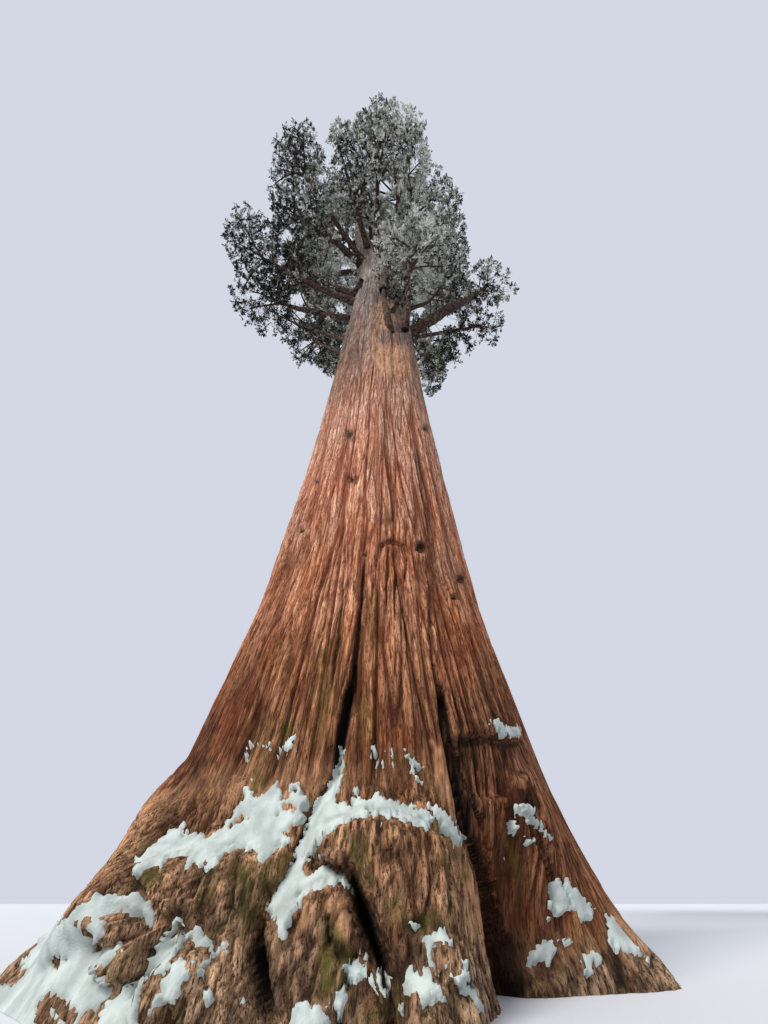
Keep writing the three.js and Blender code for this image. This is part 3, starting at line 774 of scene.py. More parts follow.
# %% Mossy places, in pixels
MOSS_PATCHES = [
    [(254, 768), (262, 764), (269, 775), (263, 796), (252, 798)],
    [(346, 832), (358, 834), (368, 850), (372, 885), (362, 888), (352, 868)],
    [(286, 846), (291, 852), (279, 885), (262, 905), (243, 900), (250, 880), (270, 862)],
    [(138, 868), (162, 864), (160, 884), (142, 888)],
    [(230, 862), (252, 860), (256, 880), (248, 890), (232, 886)],
    [(236, 894), (254, 892), (254, 918), (240, 926), (230, 914)],
    [(274, 860), (292, 856), (288, 880), (270, 886)],
    [(252, 966), (262, 970), (263, 992), (253, 990)],
    [(330, 905), (345, 940), (352, 965), (340, 1000), (315, 1000), (318, 950)],
    [(424, 914), (446, 912), (450, 934), (428, 938), (404, 930), (404, 918)],
    [(283, 722), (294, 722), (290, 746), (282, 746)],
    [(436, 806), (462, 850), (470, 880), (462, 880), (450, 850), (432, 826)],
    [(200, 868), (216, 872), (214, 905), (198, 905)],
    [(236, 890), (256, 880), (262, 920), (240, 935)],
]
FAINT_MOSS = [
    [(318, 640), (338, 640), (338, 700), (330, 735), (312, 735), (312, 690)],
    [(275, 640), (290, 640), (288, 668), (274, 668)],
    [(366, 596), (380, 600), (378, 640), (364, 640)],
    [(356, 700), (372, 700), (370, 740), (354, 740)],
    [(208, 928), (234, 928), (232, 946), (210, 946)],
    [(252, 730), (270, 730), (274, 764), (254, 764)],
]
print("mossy places", len(MOSS_PATCHES + FAINT_MOSS))

# %% Painted shade, damp places, and bare wood with painted light, in pixels
# painted shade in the deepest places: clefts, under the ledge, grooves and knot holes
DEEP_SHADE_PATCHES = [
    [(470, 846), (482, 852), (494, 890), (506, 925), (520, 958), (536, 984), (516, 1004),
     (498, 992), (487, 955), (480, 900)],
    [(449, 739), (459, 735), (468, 738), (482, 734), (494, 741), (507, 743), (523, 742), (512, 750),
     (496, 748), (484, 744), (474, 750), (462, 747), (453, 757)],
    [(516, 788), (534, 786), (544, 806), (532, 816), (520, 806)],
    [(330, 938), (346, 942), (348, 958), (334, 958)],
    [(604, 898), (617, 900), (618, 916), (606, 918)],
    [(350, 872), (358, 874), (371, 905), (384, 950), (392, 980), (386, 984), (372, 950),
     (360, 918)],
    [(257, 921), (265, 926), (267, 950), (265, 975), (269, 992), (280, 1014), (264, 1014),
     (254, 992), (253, 960), (255, 938)],
    [(211, 860), (217, 862), (211, 880), (209, 894), (199, 914), (193, 916), (200, 898), (205, 876)],
    [(181, 894), (186, 896), (181, 918), (174, 924), (176, 908)],
    [(239, 886), (247, 888), (244, 904), (236, 908), (233, 896)],
    [(402, 918), (424, 916), (426, 930), (404, 932)],
    [(600, 894), (607, 900), (616, 930), (621, 965), (624, 1000), (617, 1000), (611, 950),
     (604, 915)],
    [(446, 738), (456, 742), (462, 772), (468, 798), (475, 825), (484, 862), (476, 870), (467, 845),
     (461, 815), (453, 785), (447, 760)],
    [(416, 542), (424, 541), (427, 547), (424, 552), (417, 551)],
    [(346, 430), (354, 431), (353, 440), (347, 440)],
    [(348, 476), (357, 477), (356, 482), (348, 482)],
    [(456, 574), (464, 576), (464, 584), (457, 583)],
    [(470, 742), (478, 744), (482, 775), (474, 772)],
    [(498, 745), (506, 746), (509, 772), (501, 770)],
]
# damp places, and painted shade where the crown shades the trunk
DAMP_AND_SHADE_PATCHES = [
    [(127, 862), (162, 838), (154, 881), (127, 900), (88, 915), (77, 927), (83, 908)],
    [(215, 878), (270, 868), (276, 885), (258, 925), (240, 931), (215, 915)],
    [(254, 925), (262, 931), (272, 985), (292, 1012), (275, 1012), (256, 980)],
    [(346, 832), (367, 827), (371, 850), (366, 892), (352, 869)],
    [(390, 928), (404, 918), (446, 917), (452, 946), (436, 972), (396, 978), (384, 950)],
    [(500, 940), (540, 932), (580, 950), (613, 946), (617, 990), (498, 990)],
    [(296, 930), (318, 940), (326, 1000), (300, 1010), (284, 980)],
    [(322, 740), (344, 740), (334, 800), (322, 800)],
    [(160, 905), (180, 900), (190, 930), (170, 940)],
    [(150, 836), (172, 780), (192, 738), (210, 704), (220, 712), (214, 750), (224, 782),
     (198, 802), (176, 838)],
    [(196, 895), (222, 888), (236, 925), (208, 945), (190, 925)],
    [(182, 860), (246, 856), (244, 888), (184, 896)],
    [(282, 908), (314, 918), (312, 968), (284, 968)],
    [(484, 650), (494, 662), (508, 700), (520, 732), (482, 735), (474, 700)],
    [(326, 300), (352, 292), (354, 345), (330, 352)],
    [(358, 262), (372, 262), (374, 300), (358, 300)],
]
# painted shade on the shaded side of the foot and bole, and on the trunk inside the crown
SOFT_SHADE_PATCHES = [
    [(445, 690), (505, 690), (535, 770), (545, 850), (500, 850), (470, 830)],
    [(150, 840), (200, 775), (240, 745), (330, 750), (300, 790), (240, 805), (190, 850)],
    [(345, 756), (432, 756), (436, 800), (345, 800)],
    [(254, 700), (304, 696), (300, 780), (250, 780)],
    [(296, 500), (312, 505), (300, 560), (286, 610), (264, 660), (240, 704), (226, 700),
     (246, 650), (268, 595), (284, 545)],
    [(330, 345), (356, 345), (354, 395), (328, 395)],
]
# bare wood, and painted light on faces of the foot that the sun catches
BARE_AND_LIT_PATCHES = [
    [(378, 304), (394, 302), (397, 316), (394, 328), (380, 328)],
    [(334, 898), (348, 900), (350, 930), (342, 946), (334, 930)],
    [(432, 742), (439, 743), (449, 790), (456, 818), (450, 815), (438, 780)],
    [(452, 838), (464, 846), (474, 880), (480, 905), (480, 940), (468, 940), (462, 890)],
    [(296, 900), (306, 900), (308, 930), (298, 935)],
    [(376, 346), (408, 346), (412, 374), (378, 374)],
]
print("other marked places", len(DEEP_SHADE_PATCHES + DAMP_AND_SHADE_PATCHES + SOFT_SHADE_PATCHES + BARE_AND_LIT_PATCHES))

# %% How much of each mark a spot of the bark has
# strength, softness of the edge in pixels, size of the specks in metres, seed, least of a speck
GREENS = [(0.45, 16, 0.05, 62, 0.0, FAINT_MOSS), (1.0, 6, 0.05, 62, 0.35, MOSS_PATCHES)]
# painted shade, from the deepest to the softest
SHADES = [(0.97, 3, 0.5, 69, 0.85, DEEP_SHADE_PATCHES), (0.62, 12, 0.07, 75, 0.0, DAMP_AND_SHADE_PATCHES),
          (0.42, 18, 0.10, 77, 0.4, SOFT_SHADE_PATCHES)]
BARE_AND_LIT = [(1.0, 5, 0.06, 73, 0.0, BARE_AND_LIT_PATCHES)]
BARE_AND_LIT_IN_CROWN = [(1.0, 3, 0.3, 73, 0.0, BARE_AND_LIT_PATCHES)]
SPECK_MIDDLE, SPECK_SWING = 0.7, 1.1
RAGGED_PIXELS, RAGGED_SIZE = 4.0, 0.06
FACING_MARKS = (-0.05, 0.10)
DAMP_GREEN, DAMP_GREEN_SIZE = 0.60, np.array([0.22, 0.22, 0.30])
DAMP_GREEN_FROM, DAMP_GREEN_TOP = (0.22, 0.55), (0.5, 1.3)
DARK_CRACK, DARK_CRACK_EDGE = 0.05, (0.30, 0.75)


def marked(place, bearing, soft, speck_size, seed, least, outlines):
    """How much each spot lies in outlines of the photograph, speckled by noise."""
    share = np.zeros(len(place))
    front = in_front(bearing)
    spots = place[front]
    across, down = to_pixels(spots)
    speckle = SPECK_MIDDLE + SPECK_SWING * noise(spots / speck_size, seed)
    speckle = np.clip(speckle, least, 1)
    ragged = RAGGED_PIXELS * noise(spots / RAGGED_SIZE, seed + 1)
    found = np.zeros(len(spots))
    for outline in outlines:
        depth = inside_depth(across, down, outline) + ragged
        found = np.maximum(found, smooth_step(depth, -soft, soft) * speckle)
    share[front] = found * smooth_step(turned_to_camera(spots, bearing[front]), *FACING_MARKS)
    return share


def with_marks(share, place, bearing, marks):
    """The larger of a share and of what marks of the photograph give."""
    for strength, *look in marks:
        share = np.maximum(share, strength * marked(place, bearing, *look))
    return share


def mossy(place, bearing):
    """How green each spot is: in damp patches of the foot, and in the photograph's own ones."""
    damp = smooth_step(noise(place / DAMP_GREEN_SIZE, 61), *DAMP_GREEN_FROM)
    damp *= DAMP_GREEN * (1 - smooth_step(place[:, 2], *DAMP_GREEN_TOP))
    return with_marks(damp, place, bearing, GREENS)


def shaded(place, bearing, cleft):
    """How much painted shade each spot has: in clefts and cracks, under ledges, in damp places and on
    the shaded side.
    """
    cleft = with_marks(cleft, place, bearing, SHADES)
    front = in_front(bearing) & (place[:, 2] < SHAPES_TOP)
    across, down = to_pixels(place[front])
    dark = np.zeros(front.sum())
    for depth, wide, points in CRACKS.values():
        if depth >= DARK_CRACK:
            notch = smooth_step(crack_notch(across, down, wide, points), *DARK_CRACK_EDGE)
            dark = np.maximum(dark, notch * min(1.0, depth / FULLY_DARK_DEPTH))
    dark *= smooth_step(turned_to_camera(place[front], bearing[front]), *FACING_SQUARELY)
    cleft[front] = np.maximum(cleft[front], dark)
    return cleft


print("kinds of marks", len(GREENS + SHADES + BARE_AND_LIT + BARE_AND_LIT_IN_CROWN))

# %% [markdown]
# The skin has six stretches: front and back of the foot, front and back of the bole above it, the
# upper bole, and the part inside the crown, which closes in a broken, splintered top.

# %% The trunk's skin
FRONT_LEFT, FRONT_RIGHT = -100.0, 100.0
FOOT_TOP, MID_TOP, UPPER_TOP = 3.2, 9.0, 20.0
CLOSES_FROM, ABOVE_TOP_RING = 0.96, 0.05
SPLINTER_HEIGHT, SPLINTERS = 0.30, 2.2
SPLINTER_MIDDLE, SPLINTER_SWING = 0.7, 0.5


def skin(left, right, low, high):
    """The shape of one stretch of bark between two bearings and two heights."""
    def shape(across, up):
        bearing = left + (right - left) * across
        height = low + (high - low) * up
        place, furrow, cleft, burl = bark(bearing, height)
        # painted shade of clefts, cracks, ledges and the shaded side
        cleft = shaded(place, bearing, cleft)
        # bare wood, and painted light on faces that the sun catches
        bare = with_marks(np.zeros(len(up)), place, bearing, BARE_AND_LIT)
        level = up_the_bark(bearing, height, stand_off(place, bearing))
        return place, furrow, cleft, mossy(place, bearing), burl, bare, level
    return shape


def crown_skin(across, up):
    """The trunk inside the crown. Its last rows close in a splintered top."""
    share = np.minimum(up / CLOSES_FROM, 1)
    height = UPPER_TOP + (TOP_RING + ABOVE_TOP_RING - UPPER_TOP) * share
    bearing = 360 * across
    place, furrow, cleft, _ = bark(bearing, height)
    closing = np.clip((up - CLOSES_FROM) / (1 - CLOSES_FROM), 0, 1)
    middle = bole_middle(height)
    spread = np.sqrt(1 - closing ** 2)
    place[:, :2] = middle + (place[:, :2] - middle) * spread[:, None]
    splinter = np.stack([np.sin(np.radians(bearing)), np.cos(np.radians(bearing)), closing], axis=1)
    ragged = SPLINTER_MIDDLE + SPLINTER_SWING * noise(splinter * SPLINTERS, 63)
    place[:, 2] += SPLINTER_HEIGHT * np.sqrt(closing) * ragged
    none = np.zeros(len(up))
    # bare wood, and painted light
    bare = with_marks(none, place, bearing, BARE_AND_LIT_IN_CROWN)
    return place, furrow, cleft, none, none, bare, up_the_bark(bearing, height)


# name, columns, rows, shape, and whether the left and right edges join
stretches = [
    ("trunk_foot_front", 480, 200, skin(FRONT_LEFT, FRONT_RIGHT, 0.0, FOOT_TOP), False),
    ("trunk_foot_back", 160, 90, skin(FRONT_RIGHT, FRONT_LEFT + 360, 0.0, FOOT_TOP), False),
    ("trunk_bole_front", 480, 200, skin(FRONT_LEFT, FRONT_RIGHT, FOOT_TOP, MID_TOP), False),
    ("trunk_bole_back", 160, 110, skin(FRONT_RIGHT, FRONT_LEFT + 360, FOOT_TOP, MID_TOP), False),
    ("trunk_upper_bole", 288, 150, skin(0.0, 360.0, MID_TOP, UPPER_TOP), True),
    ("trunk_in_crown", 144, 160, crown_skin, True),
]
for name, columns, rows, shape, close in stretches:
    mesh = shaped_grid(name, columns, rows, shape, bark_layers, close)
    add_piece(name, mesh, trunk_bark, ["trunk"])

# %% [markdown]
# Old snow lies on the ledges of the foot, in its creases and on its root lobes. It is a skin of its
# own, a few centimetres thick, which follows the bark's broad shape and smooths over the fine
# relief. Where it ends, its edge dips into the bark. On the side that the photograph shows, snow
# lies inside outlines taken from it. On the other sides it lies where the foot slopes enough to
# hold it.

# %% Where snow lies
SNOW_PATCHES = [
    [(135, 872), (137, 861), (153, 848), (168, 835), (185, 823), (184, 836), (210, 837), (223, 831),
     (230, 818), (238, 804), (243, 792), (250, 782), (252, 796), (260, 797), (270, 792), (278, 782),
     (281, 798), (277, 817), (288, 813), (305, 814), (303, 822), (288, 830), (281, 834), (292, 842),
     (280, 848), (272, 853), (259, 862), (256, 850), (236, 847), (224, 852), (212, 867), (203, 867),
     (194, 859), (188, 874), (187, 853), (168, 860), (160, 868), (150, 863)],
    [(284, 802), (293, 793), (306, 796), (309, 805), (300, 808), (290, 804), (280, 808)],
    [(340, 748), (337, 760), (331, 780), (326, 792), (317, 802), (308, 818), (303, 835), (295, 852),
     (290, 870), (280, 887), (267, 910), (276, 914), (290, 892), (303, 874), (306, 858), (315, 845),
     (328, 830), (337, 802), (341, 778), (344, 750)],
    [(303, 840), (315, 822), (326, 811), (342, 803), (353, 807), (356, 791), (359, 804), (373, 800),
     (376, 793), (384, 798), (398, 804), (413, 807), (428, 812), (433, 822), (427, 828), (418, 825),
     (407, 822), (388, 818), (373, 812), (363, 814), (350, 822), (340, 825), (330, 831), (320, 839),
     (312, 851), (305, 864)],
    [(428, 805), (438, 807), (446, 813), (453, 822), (463, 838), (457, 843), (448, 833), (440, 823),
     (432, 814)],
    [(290, 860), (304, 861), (303, 871), (308, 876), (316, 872), (327, 868), (338, 873), (348, 880),
     (353, 894), (346, 888), (338, 884), (327, 886), (316, 891), (307, 896), (298, 905), (291, 914),
     (285, 924), (284, 936), (278, 939), (277, 927), (271, 916), (264, 909), (273, 898), (284, 884)],
    [(361, 950), (371, 962), (378, 973), (387, 976), (391, 988), (386, 996), (376, 978), (366, 973),
     (351, 978), (343, 969), (350, 960)],
    [(328, 1010), (331, 1001), (338, 987), (346, 984), (346, 998), (338, 1014)],
    [(284, 1034), (294, 1010), (304, 1006), (318, 1008), (328, 1012), (332, 1034)],
    [(423, 939), (432, 933), (443, 931), (450, 940), (452, 947), (437, 946), (433, 952), (438, 963),
     (435, 969), (428, 965), (428, 951)],
    [(403, 982), (411, 962), (415, 973), (429, 971), (436, 985), (446, 1000), (440, 1005),
     (422, 996), (404, 990)],
    [(451, 976), (462, 974), (460, 956), (464, 968), (471, 987), (483, 1012), (468, 1002),
     (458, 987)],
    [(140, 896), (150, 905), (155, 915), (150, 922), (140, 909), (127, 913), (116, 912), (107, 916),
     (103, 926), (102, 936), (95, 942), (96, 951), (109, 947), (124, 944), (113, 956), (103, 964),
     (94, 968), (94, 974), (102, 982), (113, 987), (111, 995), (102, 1006), (87, 1015), (72, 1011),
     (66, 1000), (50, 995), (38, 1004), (30, 1045), (-20, 1045), (-20, 996), (20, 984), (30, 970),
     (20, 968), (42, 943), (80, 908), (120, 892)],
    [(177, 918), (175, 936), (185, 932), (175, 953), (164, 976), (151, 973), (137, 987), (136, 1045),
     (90, 1045), (102, 1011), (116, 996), (131, 982), (145, 962), (153, 949), (170, 929)],
    [(188, 933), (202, 931), (208, 942), (217, 949), (227, 943), (224, 951), (215, 956), (205, 948),
     (195, 946)],
    [(196, 959), (204, 965), (202, 976), (184, 979), (182, 991), (164, 1002), (149, 1013),
     (160, 994), (165, 982), (177, 966)],
    [(202, 995), (208, 989), (213, 993), (206, 999)],
    [(489, 720), (504, 727), (518, 729), (520, 736), (504, 738), (495, 730)],
    [(521, 805), (530, 808), (540, 824), (550, 838), (543, 837), (533, 824)],
    [(514, 824), (520, 828), (516, 832)],
    [(527, 836), (532, 840), (528, 843)],
    [(549, 889), (556, 880), (562, 889), (569, 907), (560, 914), (551, 905)],
    [(565, 878), (578, 894), (592, 910), (591, 919), (579, 920), (570, 909), (563, 891)],
    [(532, 959), (541, 945), (550, 941), (554, 951), (551, 960)],
    [(583, 955), (593, 955), (592, 974), (585, 974)],
    [(591, 952), (601, 961), (597, 967)],
    [(606, 914), (624, 926), (640, 940), (646, 950), (636, 954), (618, 952), (611, 940)],
    [(640, 949), (648, 952), (666, 980), (656, 974)],
    [(590, 879), (600, 885), (611, 897), (600, 895)],
    [(404, 748), (414, 761), (423, 768), (412, 768)],
    [(412, 774), (423, 781), (415, 782)],
    [(289, 791), (301, 782), (299, 790)],
    [(283, 746), (296, 735), (291, 749)],
    [(409, 924), (415, 920), (420, 924), (415, 928)],
    [(240, 1003), (246, 998), (251, 1003), (246, 1007)],
]
SNOW_HOLES = [
    [(228, 830), (237, 817), (249, 818), (234, 828)],
    [(51, 961), (57, 956), (65, 960), (62, 967), (53, 968)],
]
DUSTED = [
    [(313, 846), (322, 840), (334, 842), (334, 856), (320, 862), (312, 858)],
    [(196, 982), (222, 978), (220, 1000), (196, 1006)],
    [(60, 1000), (100, 1008), (92, 1030), (40, 1030)],
    [(156, 838), (180, 822), (176, 838), (160, 848)],
    [(545, 915), (575, 922), (580, 950), (548, 940)],
    [(396, 990), (430, 996), (440, 1020), (396, 1020)],
    [(366, 738), (394, 738), (396, 770), (368, 770)],
    [(244, 742), (300, 736), (300, 756), (246, 760)],
    [(186, 948), (232, 942), (238, 978), (200, 992)],
    [(416, 962), (472, 958), (474, 1012), (420, 1004)],
]
print("snow patches", len(SNOW_PATCHES), "dusted places", len(DUSTED))

# %% How deep in snow a spot of the foot lies
SNOW_THICKNESS, THICKNESS_SIZE = 0.030, 0.16
THICKNESS_MIDDLE, THICKNESS_SWING = 0.8, 0.5
SNOW_SMOOTHINGS = 24
SNOW_EDGE_PIXELS = 6.0
SNOW_DIP = 0.06
SNOW_TOP, BACK_SNOW_TOP = 2.3, 1.6
SNOW_FOOT = 0.06
SEEN_HALF, SEEN_SQUARELY = 96.0, 0.05
SLOPE_STEP = 0.02
NO_SNOW, DEEPEST, SPILL = -9.0, 8, 1.5
# swing in pixels, size of a swing in metres and seed
SNOW_RAGGED = [(6.5, 0.030, 64), (4.5, 0.08, 65)]
FLECKS, FLECK_SIZE, FLECK_DEPTH = 22, 0.03, 3
FLECK_GROUPS, GROUP_SIZE, FLECK_LEVEL = 10, 0.10, 8
HOLDING_SLOPE, HOLDING_SIZE = (0.45, 1.0), np.array([0.5, 0.5, 0.3])
HELD_BY_SLOPE, HELD_AT_RANDOM, HOLDING_LEVEL = 9, 12, 6
LEAN_UPWARDS = np.array([0, 0, 0.5])


def unit(vectors):
    """Vectors made one long."""
    return vectors / np.maximum(np.linalg.norm(vectors, axis=-1, keepdims=True), 1e-9)


def snow_depth(bearing, height):
    """The surface of the snow, and how far inside its outlines each spot is, in pixels."""
    place, _, _, _ = bark(bearing, height, fine=False)
    high, low = height + SLOPE_STEP, np.maximum(height - SLOPE_STEP, 0)
    above, _, _, _ = bark(bearing, high, fine=False)
    below, _, _, _ = bark(bearing, low, fine=False)
    turn = np.radians(bearing)
    out = np.stack([np.sin(turn), -np.cos(turn)], axis=1)
    spread = ((below - above)[:, :2] * out).sum(axis=1) / (high - low)
    facing = unit(np.stack([out[:, 0], out[:, 1], spread], axis=1))
    across, down = to_pixels(place)
    ragged = sum(swing * noise(place / size, seed) for swing, size, seed in SNOW_RAGGED)
    depth = np.full(len(height), NO_SNOW)
    for outline in SNOW_PATCHES:
        depth = np.maximum(depth, inside_depth(across, down, outline))
    for outline in SNOW_HOLES:
        depth = np.minimum(depth, -inside_depth(across, down, outline))
    depth = np.minimum(depth, DEEPEST) + SPILL + ragged
    flecks = FLECKS * noise(place / FLECK_SIZE, 66)
    groups = FLECK_GROUPS * noise(place / GROUP_SIZE, 70) - FLECK_LEVEL
    for outline in DUSTED:
        dust = np.minimum(inside_depth(across, down, outline), FLECK_DEPTH) + flecks
        depth = np.maximum(depth, dust + groups)
    seen = ((CAMERA_PLACE - place) * facing).sum(axis=1) > SEEN_SQUARELY
    depth = np.where(seen, depth, NO_SNOW)
    holds = HELD_BY_SLOPE * smooth_step(spread, *HOLDING_SLOPE)
    holds += HELD_AT_RANDOM * noise(place / HOLDING_SIZE, 67) - HOLDING_LEVEL
    side = np.abs((bearing + 180) % 360 - 180)
    depth = np.where(side > SEEN_HALF, holds + ragged * 0.5, depth)
    cover = smooth_step(depth, -SNOW_EDGE_PIXELS / 2, SNOW_EDGE_PIXELS / 2)
    uneven = THICKNESS_MIDDLE + THICKNESS_SWING * noise(place / THICKNESS_SIZE, 68)
    thick = SNOW_THICKNESS * uneven * cover
    thick -= SNOW_DIP * (1 - cover)
    lift = unit(facing + LEAN_UPWARDS)
    lift[:, 2] *= smooth_step(height, 0, SNOW_FOOT)
    snow = place + lift * thick[:, None]
    snow[:, 2] = np.maximum(snow[:, 2], 0.001)
    return snow, depth


deep = snow_depth(np.arange(-60.0, 61), np.ones(121))[1] > 0
print("part of the front that is under snow 1 m up", deep.mean().round(2))

# %% Sheets of snow


def snow_sheet(name, columns, rows, left, right, top):
    """A stretch of snow: a grid on the foot without the faces where no snow lies."""
    mesh = shaped_grid(name, columns, rows,
                       lambda across, up: snow_depth(left + (right - left) * across, top * up),
                       ("depth",))
    sheet = bmesh.new()
    sheet.from_mesh(mesh)
    deep = sheet.verts.layers.float["depth"]
    bare = [face for face in sheet.faces
            if all(corner[deep] < -SNOW_EDGE_PIXELS / 2 for corner in face.verts)]
    bmesh.ops.delete(sheet, geom=bare, context="FACES")
    thick = [corner for corner in sheet.verts
             if corner[deep] > SNOW_EDGE_PIXELS / 2 and corner.co.z > SNOW_FOOT]
    for _ in range(SNOW_SMOOTHINGS):
        bmesh.ops.smooth_vert(sheet, verts=thick, factor=0.5,
                              use_axis_x=True, use_axis_y=True, use_axis_z=True)
    sheet.to_mesh(mesh)
    sheet.free()
    return mesh


# coarse melted and refrozen grains scatter nearly all light, with a faint cool tint; the colours here
# are grey as painted shade
# lumps of such grains are about 25 mm across on the real tree, which is 12 mm here
SNOW_LUMP = 0.012
snow_finish = mottled("old_grainy_snow_in_painted_shade", 0.65, 0.3, (9.0, 3.0), [(0.35, "#9aa39f"), (0.62, "#b9c2bd")],
                      (1 / SNOW_LUMP, 3.0, 0.6, 0.006))

for name, *sheet in (("snow_front", 708, 230, -SEEN_HALF, SEEN_HALF, SNOW_TOP),
                     ("snow_back", 200, 90, SEEN_HALF, 360 - SEEN_HALF, BACK_SNOW_TOP)):
    add_piece(name, snow_sheet(name, *sheet), snow_finish, [])

# %% [markdown]
# The tree is cut flat at ground level, so the skin gets a floor: a flat disc that follows the
# foot's outline. It is plain heartwood, which nobody sees while the tree stands.

# %% The flat cut under the trunk
CUT_CORNERS = 180
CUT_SHARE = np.array([0.99, 0.99, 0.0])
CUT_LIFT = np.array([0, 0, 0.002])
heartwood, heart_tree, heart_shader = new_material("sawn_redwood_heartwood", "#8c5a44", 0.8)
where = add_node(heart_tree, "ShaderNodeTexCoord", out="Object")
rings = add_node(heart_tree, "ShaderNodeTexWave",
                 {"wave_type": "RINGS", "rings_direction": "Z", "Scale": 6.0, "Distortion": 3.0,
                  "Vector": where}, out="Fac")
wood_colour = add_node(heart_tree, RAMP, {"stops": [(0.0, "#8c5a44"), (1.0, "#a5705a")], "Fac": rings})
heart_tree.links.new(wood_colour, heart_shader.inputs["Base Color"])
cut = bmesh.new()
bmesh.ops.create_circle(cut, cap_ends=True, cap_tris=True, segments=CUT_CORNERS, radius=1.0)
bearings = np.array([math.degrees(math.atan2(v.co.x, -v.co.y)) for v in cut.verts])
rim, *_ = bark(bearings, np.zeros(len(bearings)), fine=False)
for corner, place in zip(cut.verts, rim):
    if corner.co.length > 0.5:
        corner.co = Vector(place * CUT_SHARE + CUT_LIFT)
bmesh.ops.reverse_faces(cut, faces=cut.faces)
cut_mesh = bpy.data.meshes.new("trunk_flat_cut")
cut.to_mesh(cut_mesh)
cut.free()
add_piece("trunk_flat_cut", cut_mesh, heartwood, ["trunk"])

# %% [markdown]
# Boughs are as thick as whole trees. Each starts inside the trunk, follows the bough of the
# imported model, and then goes on through its mass of foliage as one tapering limb. Its line and
# its thickness are read from cross-sections of the model's bough. A mass that has no bough of its
# own in the model gets a limb that leaves the trunk lower down, as on the real tree.

# %% The crown's edge
# the crown's edge in the photograph, in pixels
CROWN_OUTLINE = [
    (224, 252), (222, 222), (227, 206), (242, 204), (256, 206), (268, 212), (271, 200), (262, 190),
    (260, 168), (272, 166), (274, 140), (287, 125), (293, 115), (303, 112), (309, 120), (316, 124),
    (324, 134), (319, 146), (328, 152), (330, 128), (337, 115), (344, 121), (354, 120), (361, 112),
    (372, 103), (379, 95), (391, 99), (400, 105), (413, 102), (426, 112), (420, 120), (427, 130),
    (424, 140), (432, 153), (431, 161), (441, 161), (442, 177), (450, 177), (454, 189), (464, 196),
    (462, 208), (468, 224), (467, 238), (470, 252), (468, 264), (474, 268), (480, 257), (486, 253),
    (492, 259), (503, 266), (511, 264), (513, 280), (521, 288), (520, 294), (506, 301), (494, 309),
    (504, 318), (504, 336), (490, 347), (484, 340), (474, 345), (472, 358), (460, 367), (447, 364),
    (448, 376), (438, 393), (431, 398), (423, 386), (412, 340), (340, 345), (342, 374), (326, 376),
    (314, 362), (298, 366), (288, 346), (272, 337), (254, 332), (238, 316), (231, 300), (228, 275),
    (233, 260),
]
print("corners of the edge", len(CROWN_OUTLINE))

# %% Sections of the model's boughs
SECTION_SHARES = (0.15, 0.35, 0.55, 0.75, 0.90)
END_CORNERS = 6
masses = [name[8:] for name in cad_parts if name.startswith("foliage_")]
carried = {name[6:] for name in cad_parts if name.startswith("bough_")}


def node_mesh(name):
    """Corners and triangles of a node of the model."""
    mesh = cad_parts[name].data
    places = np.array([v.co[:] for v in mesh.vertices])
    return places, [tuple(p.vertices) for p in mesh.polygons]


def bough_sections(name, mass_middle):
    """Middles and radii of a bough of the model, from the trunk outwards."""
    places, _ = node_mesh(name)
    gap = np.linalg.norm(places[:, :2] - bole_middle(places[:, 2]), axis=1)
    root = places[np.argsort(gap)[:END_CORNERS]].mean(axis=0)
    far = np.linalg.norm(places - mass_middle, axis=1)
    end = places[np.argsort(far)[:END_CORNERS]].mean(axis=0)
    middles, radii = [root], []
    for share in SECTION_SHARES:
        cut = bmesh.new()
        cut.from_mesh(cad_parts[name].data)
        bmesh.ops.remove_doubles(cut, verts=cut.verts, dist=1e-5)
        parts = cut.verts[:] + cut.edges[:] + cut.faces[:]
        sliced = bmesh.ops.bisect_plane(cut, geom=parts, plane_co=root + (end - root) * share,
                                        plane_no=end - root)
        rim = [part.co[:] for part in sliced["geom_cut"] if isinstance(part, bmesh.types.BMVert)]
        cut.free()
        if len(rim) > 4:
            middles.append(np.mean(rim, axis=0))
            radii.append(np.linalg.norm(np.array(rim) - middles[-1], axis=1).mean())
    return middles, radii


def smooth_line(points, count):
    """Evenly spaced places on a smooth line through points."""
    points = np.array(points, float)
    steps = np.linalg.norm(np.diff(points, axis=0), axis=1)
    along = np.concatenate([[0], np.cumsum(steps)])
    even = np.linspace(0, along[-1], count)
    line = np.stack([np.interp(even, along, points[:, i]) for i in range(3)], axis=1)
    for _ in range(count // 5):
        line[1:-1] = (line[:-2] + 2 * line[1:-1] + line[2:]) / 4
    return line


print("masses", len(masses), "with a bough of their own", len(carried))

# %% Lines of the limbs
BOUGH_SLIMNESS = 0.68
LIMB_POINTS = 40
TIP_RADIUS = 0.015
LIMB_REACHES = (0.8, 0.6, 0.4, 0.2)
TIP_MARGIN_PIXELS = 5
INTO_TRUNK = 0.9
UPPER_LIMB_RADII = (0.22, 0.13)
UPPER_LIMB_STEEPNESS, UPPER_LIMB_DROP, BELOW_TOP = 0.75, 0.6, 1.5
KNEE_SHARE, KNEE_SAG = 0.45, 0.12
TIP_RISE = 0.35


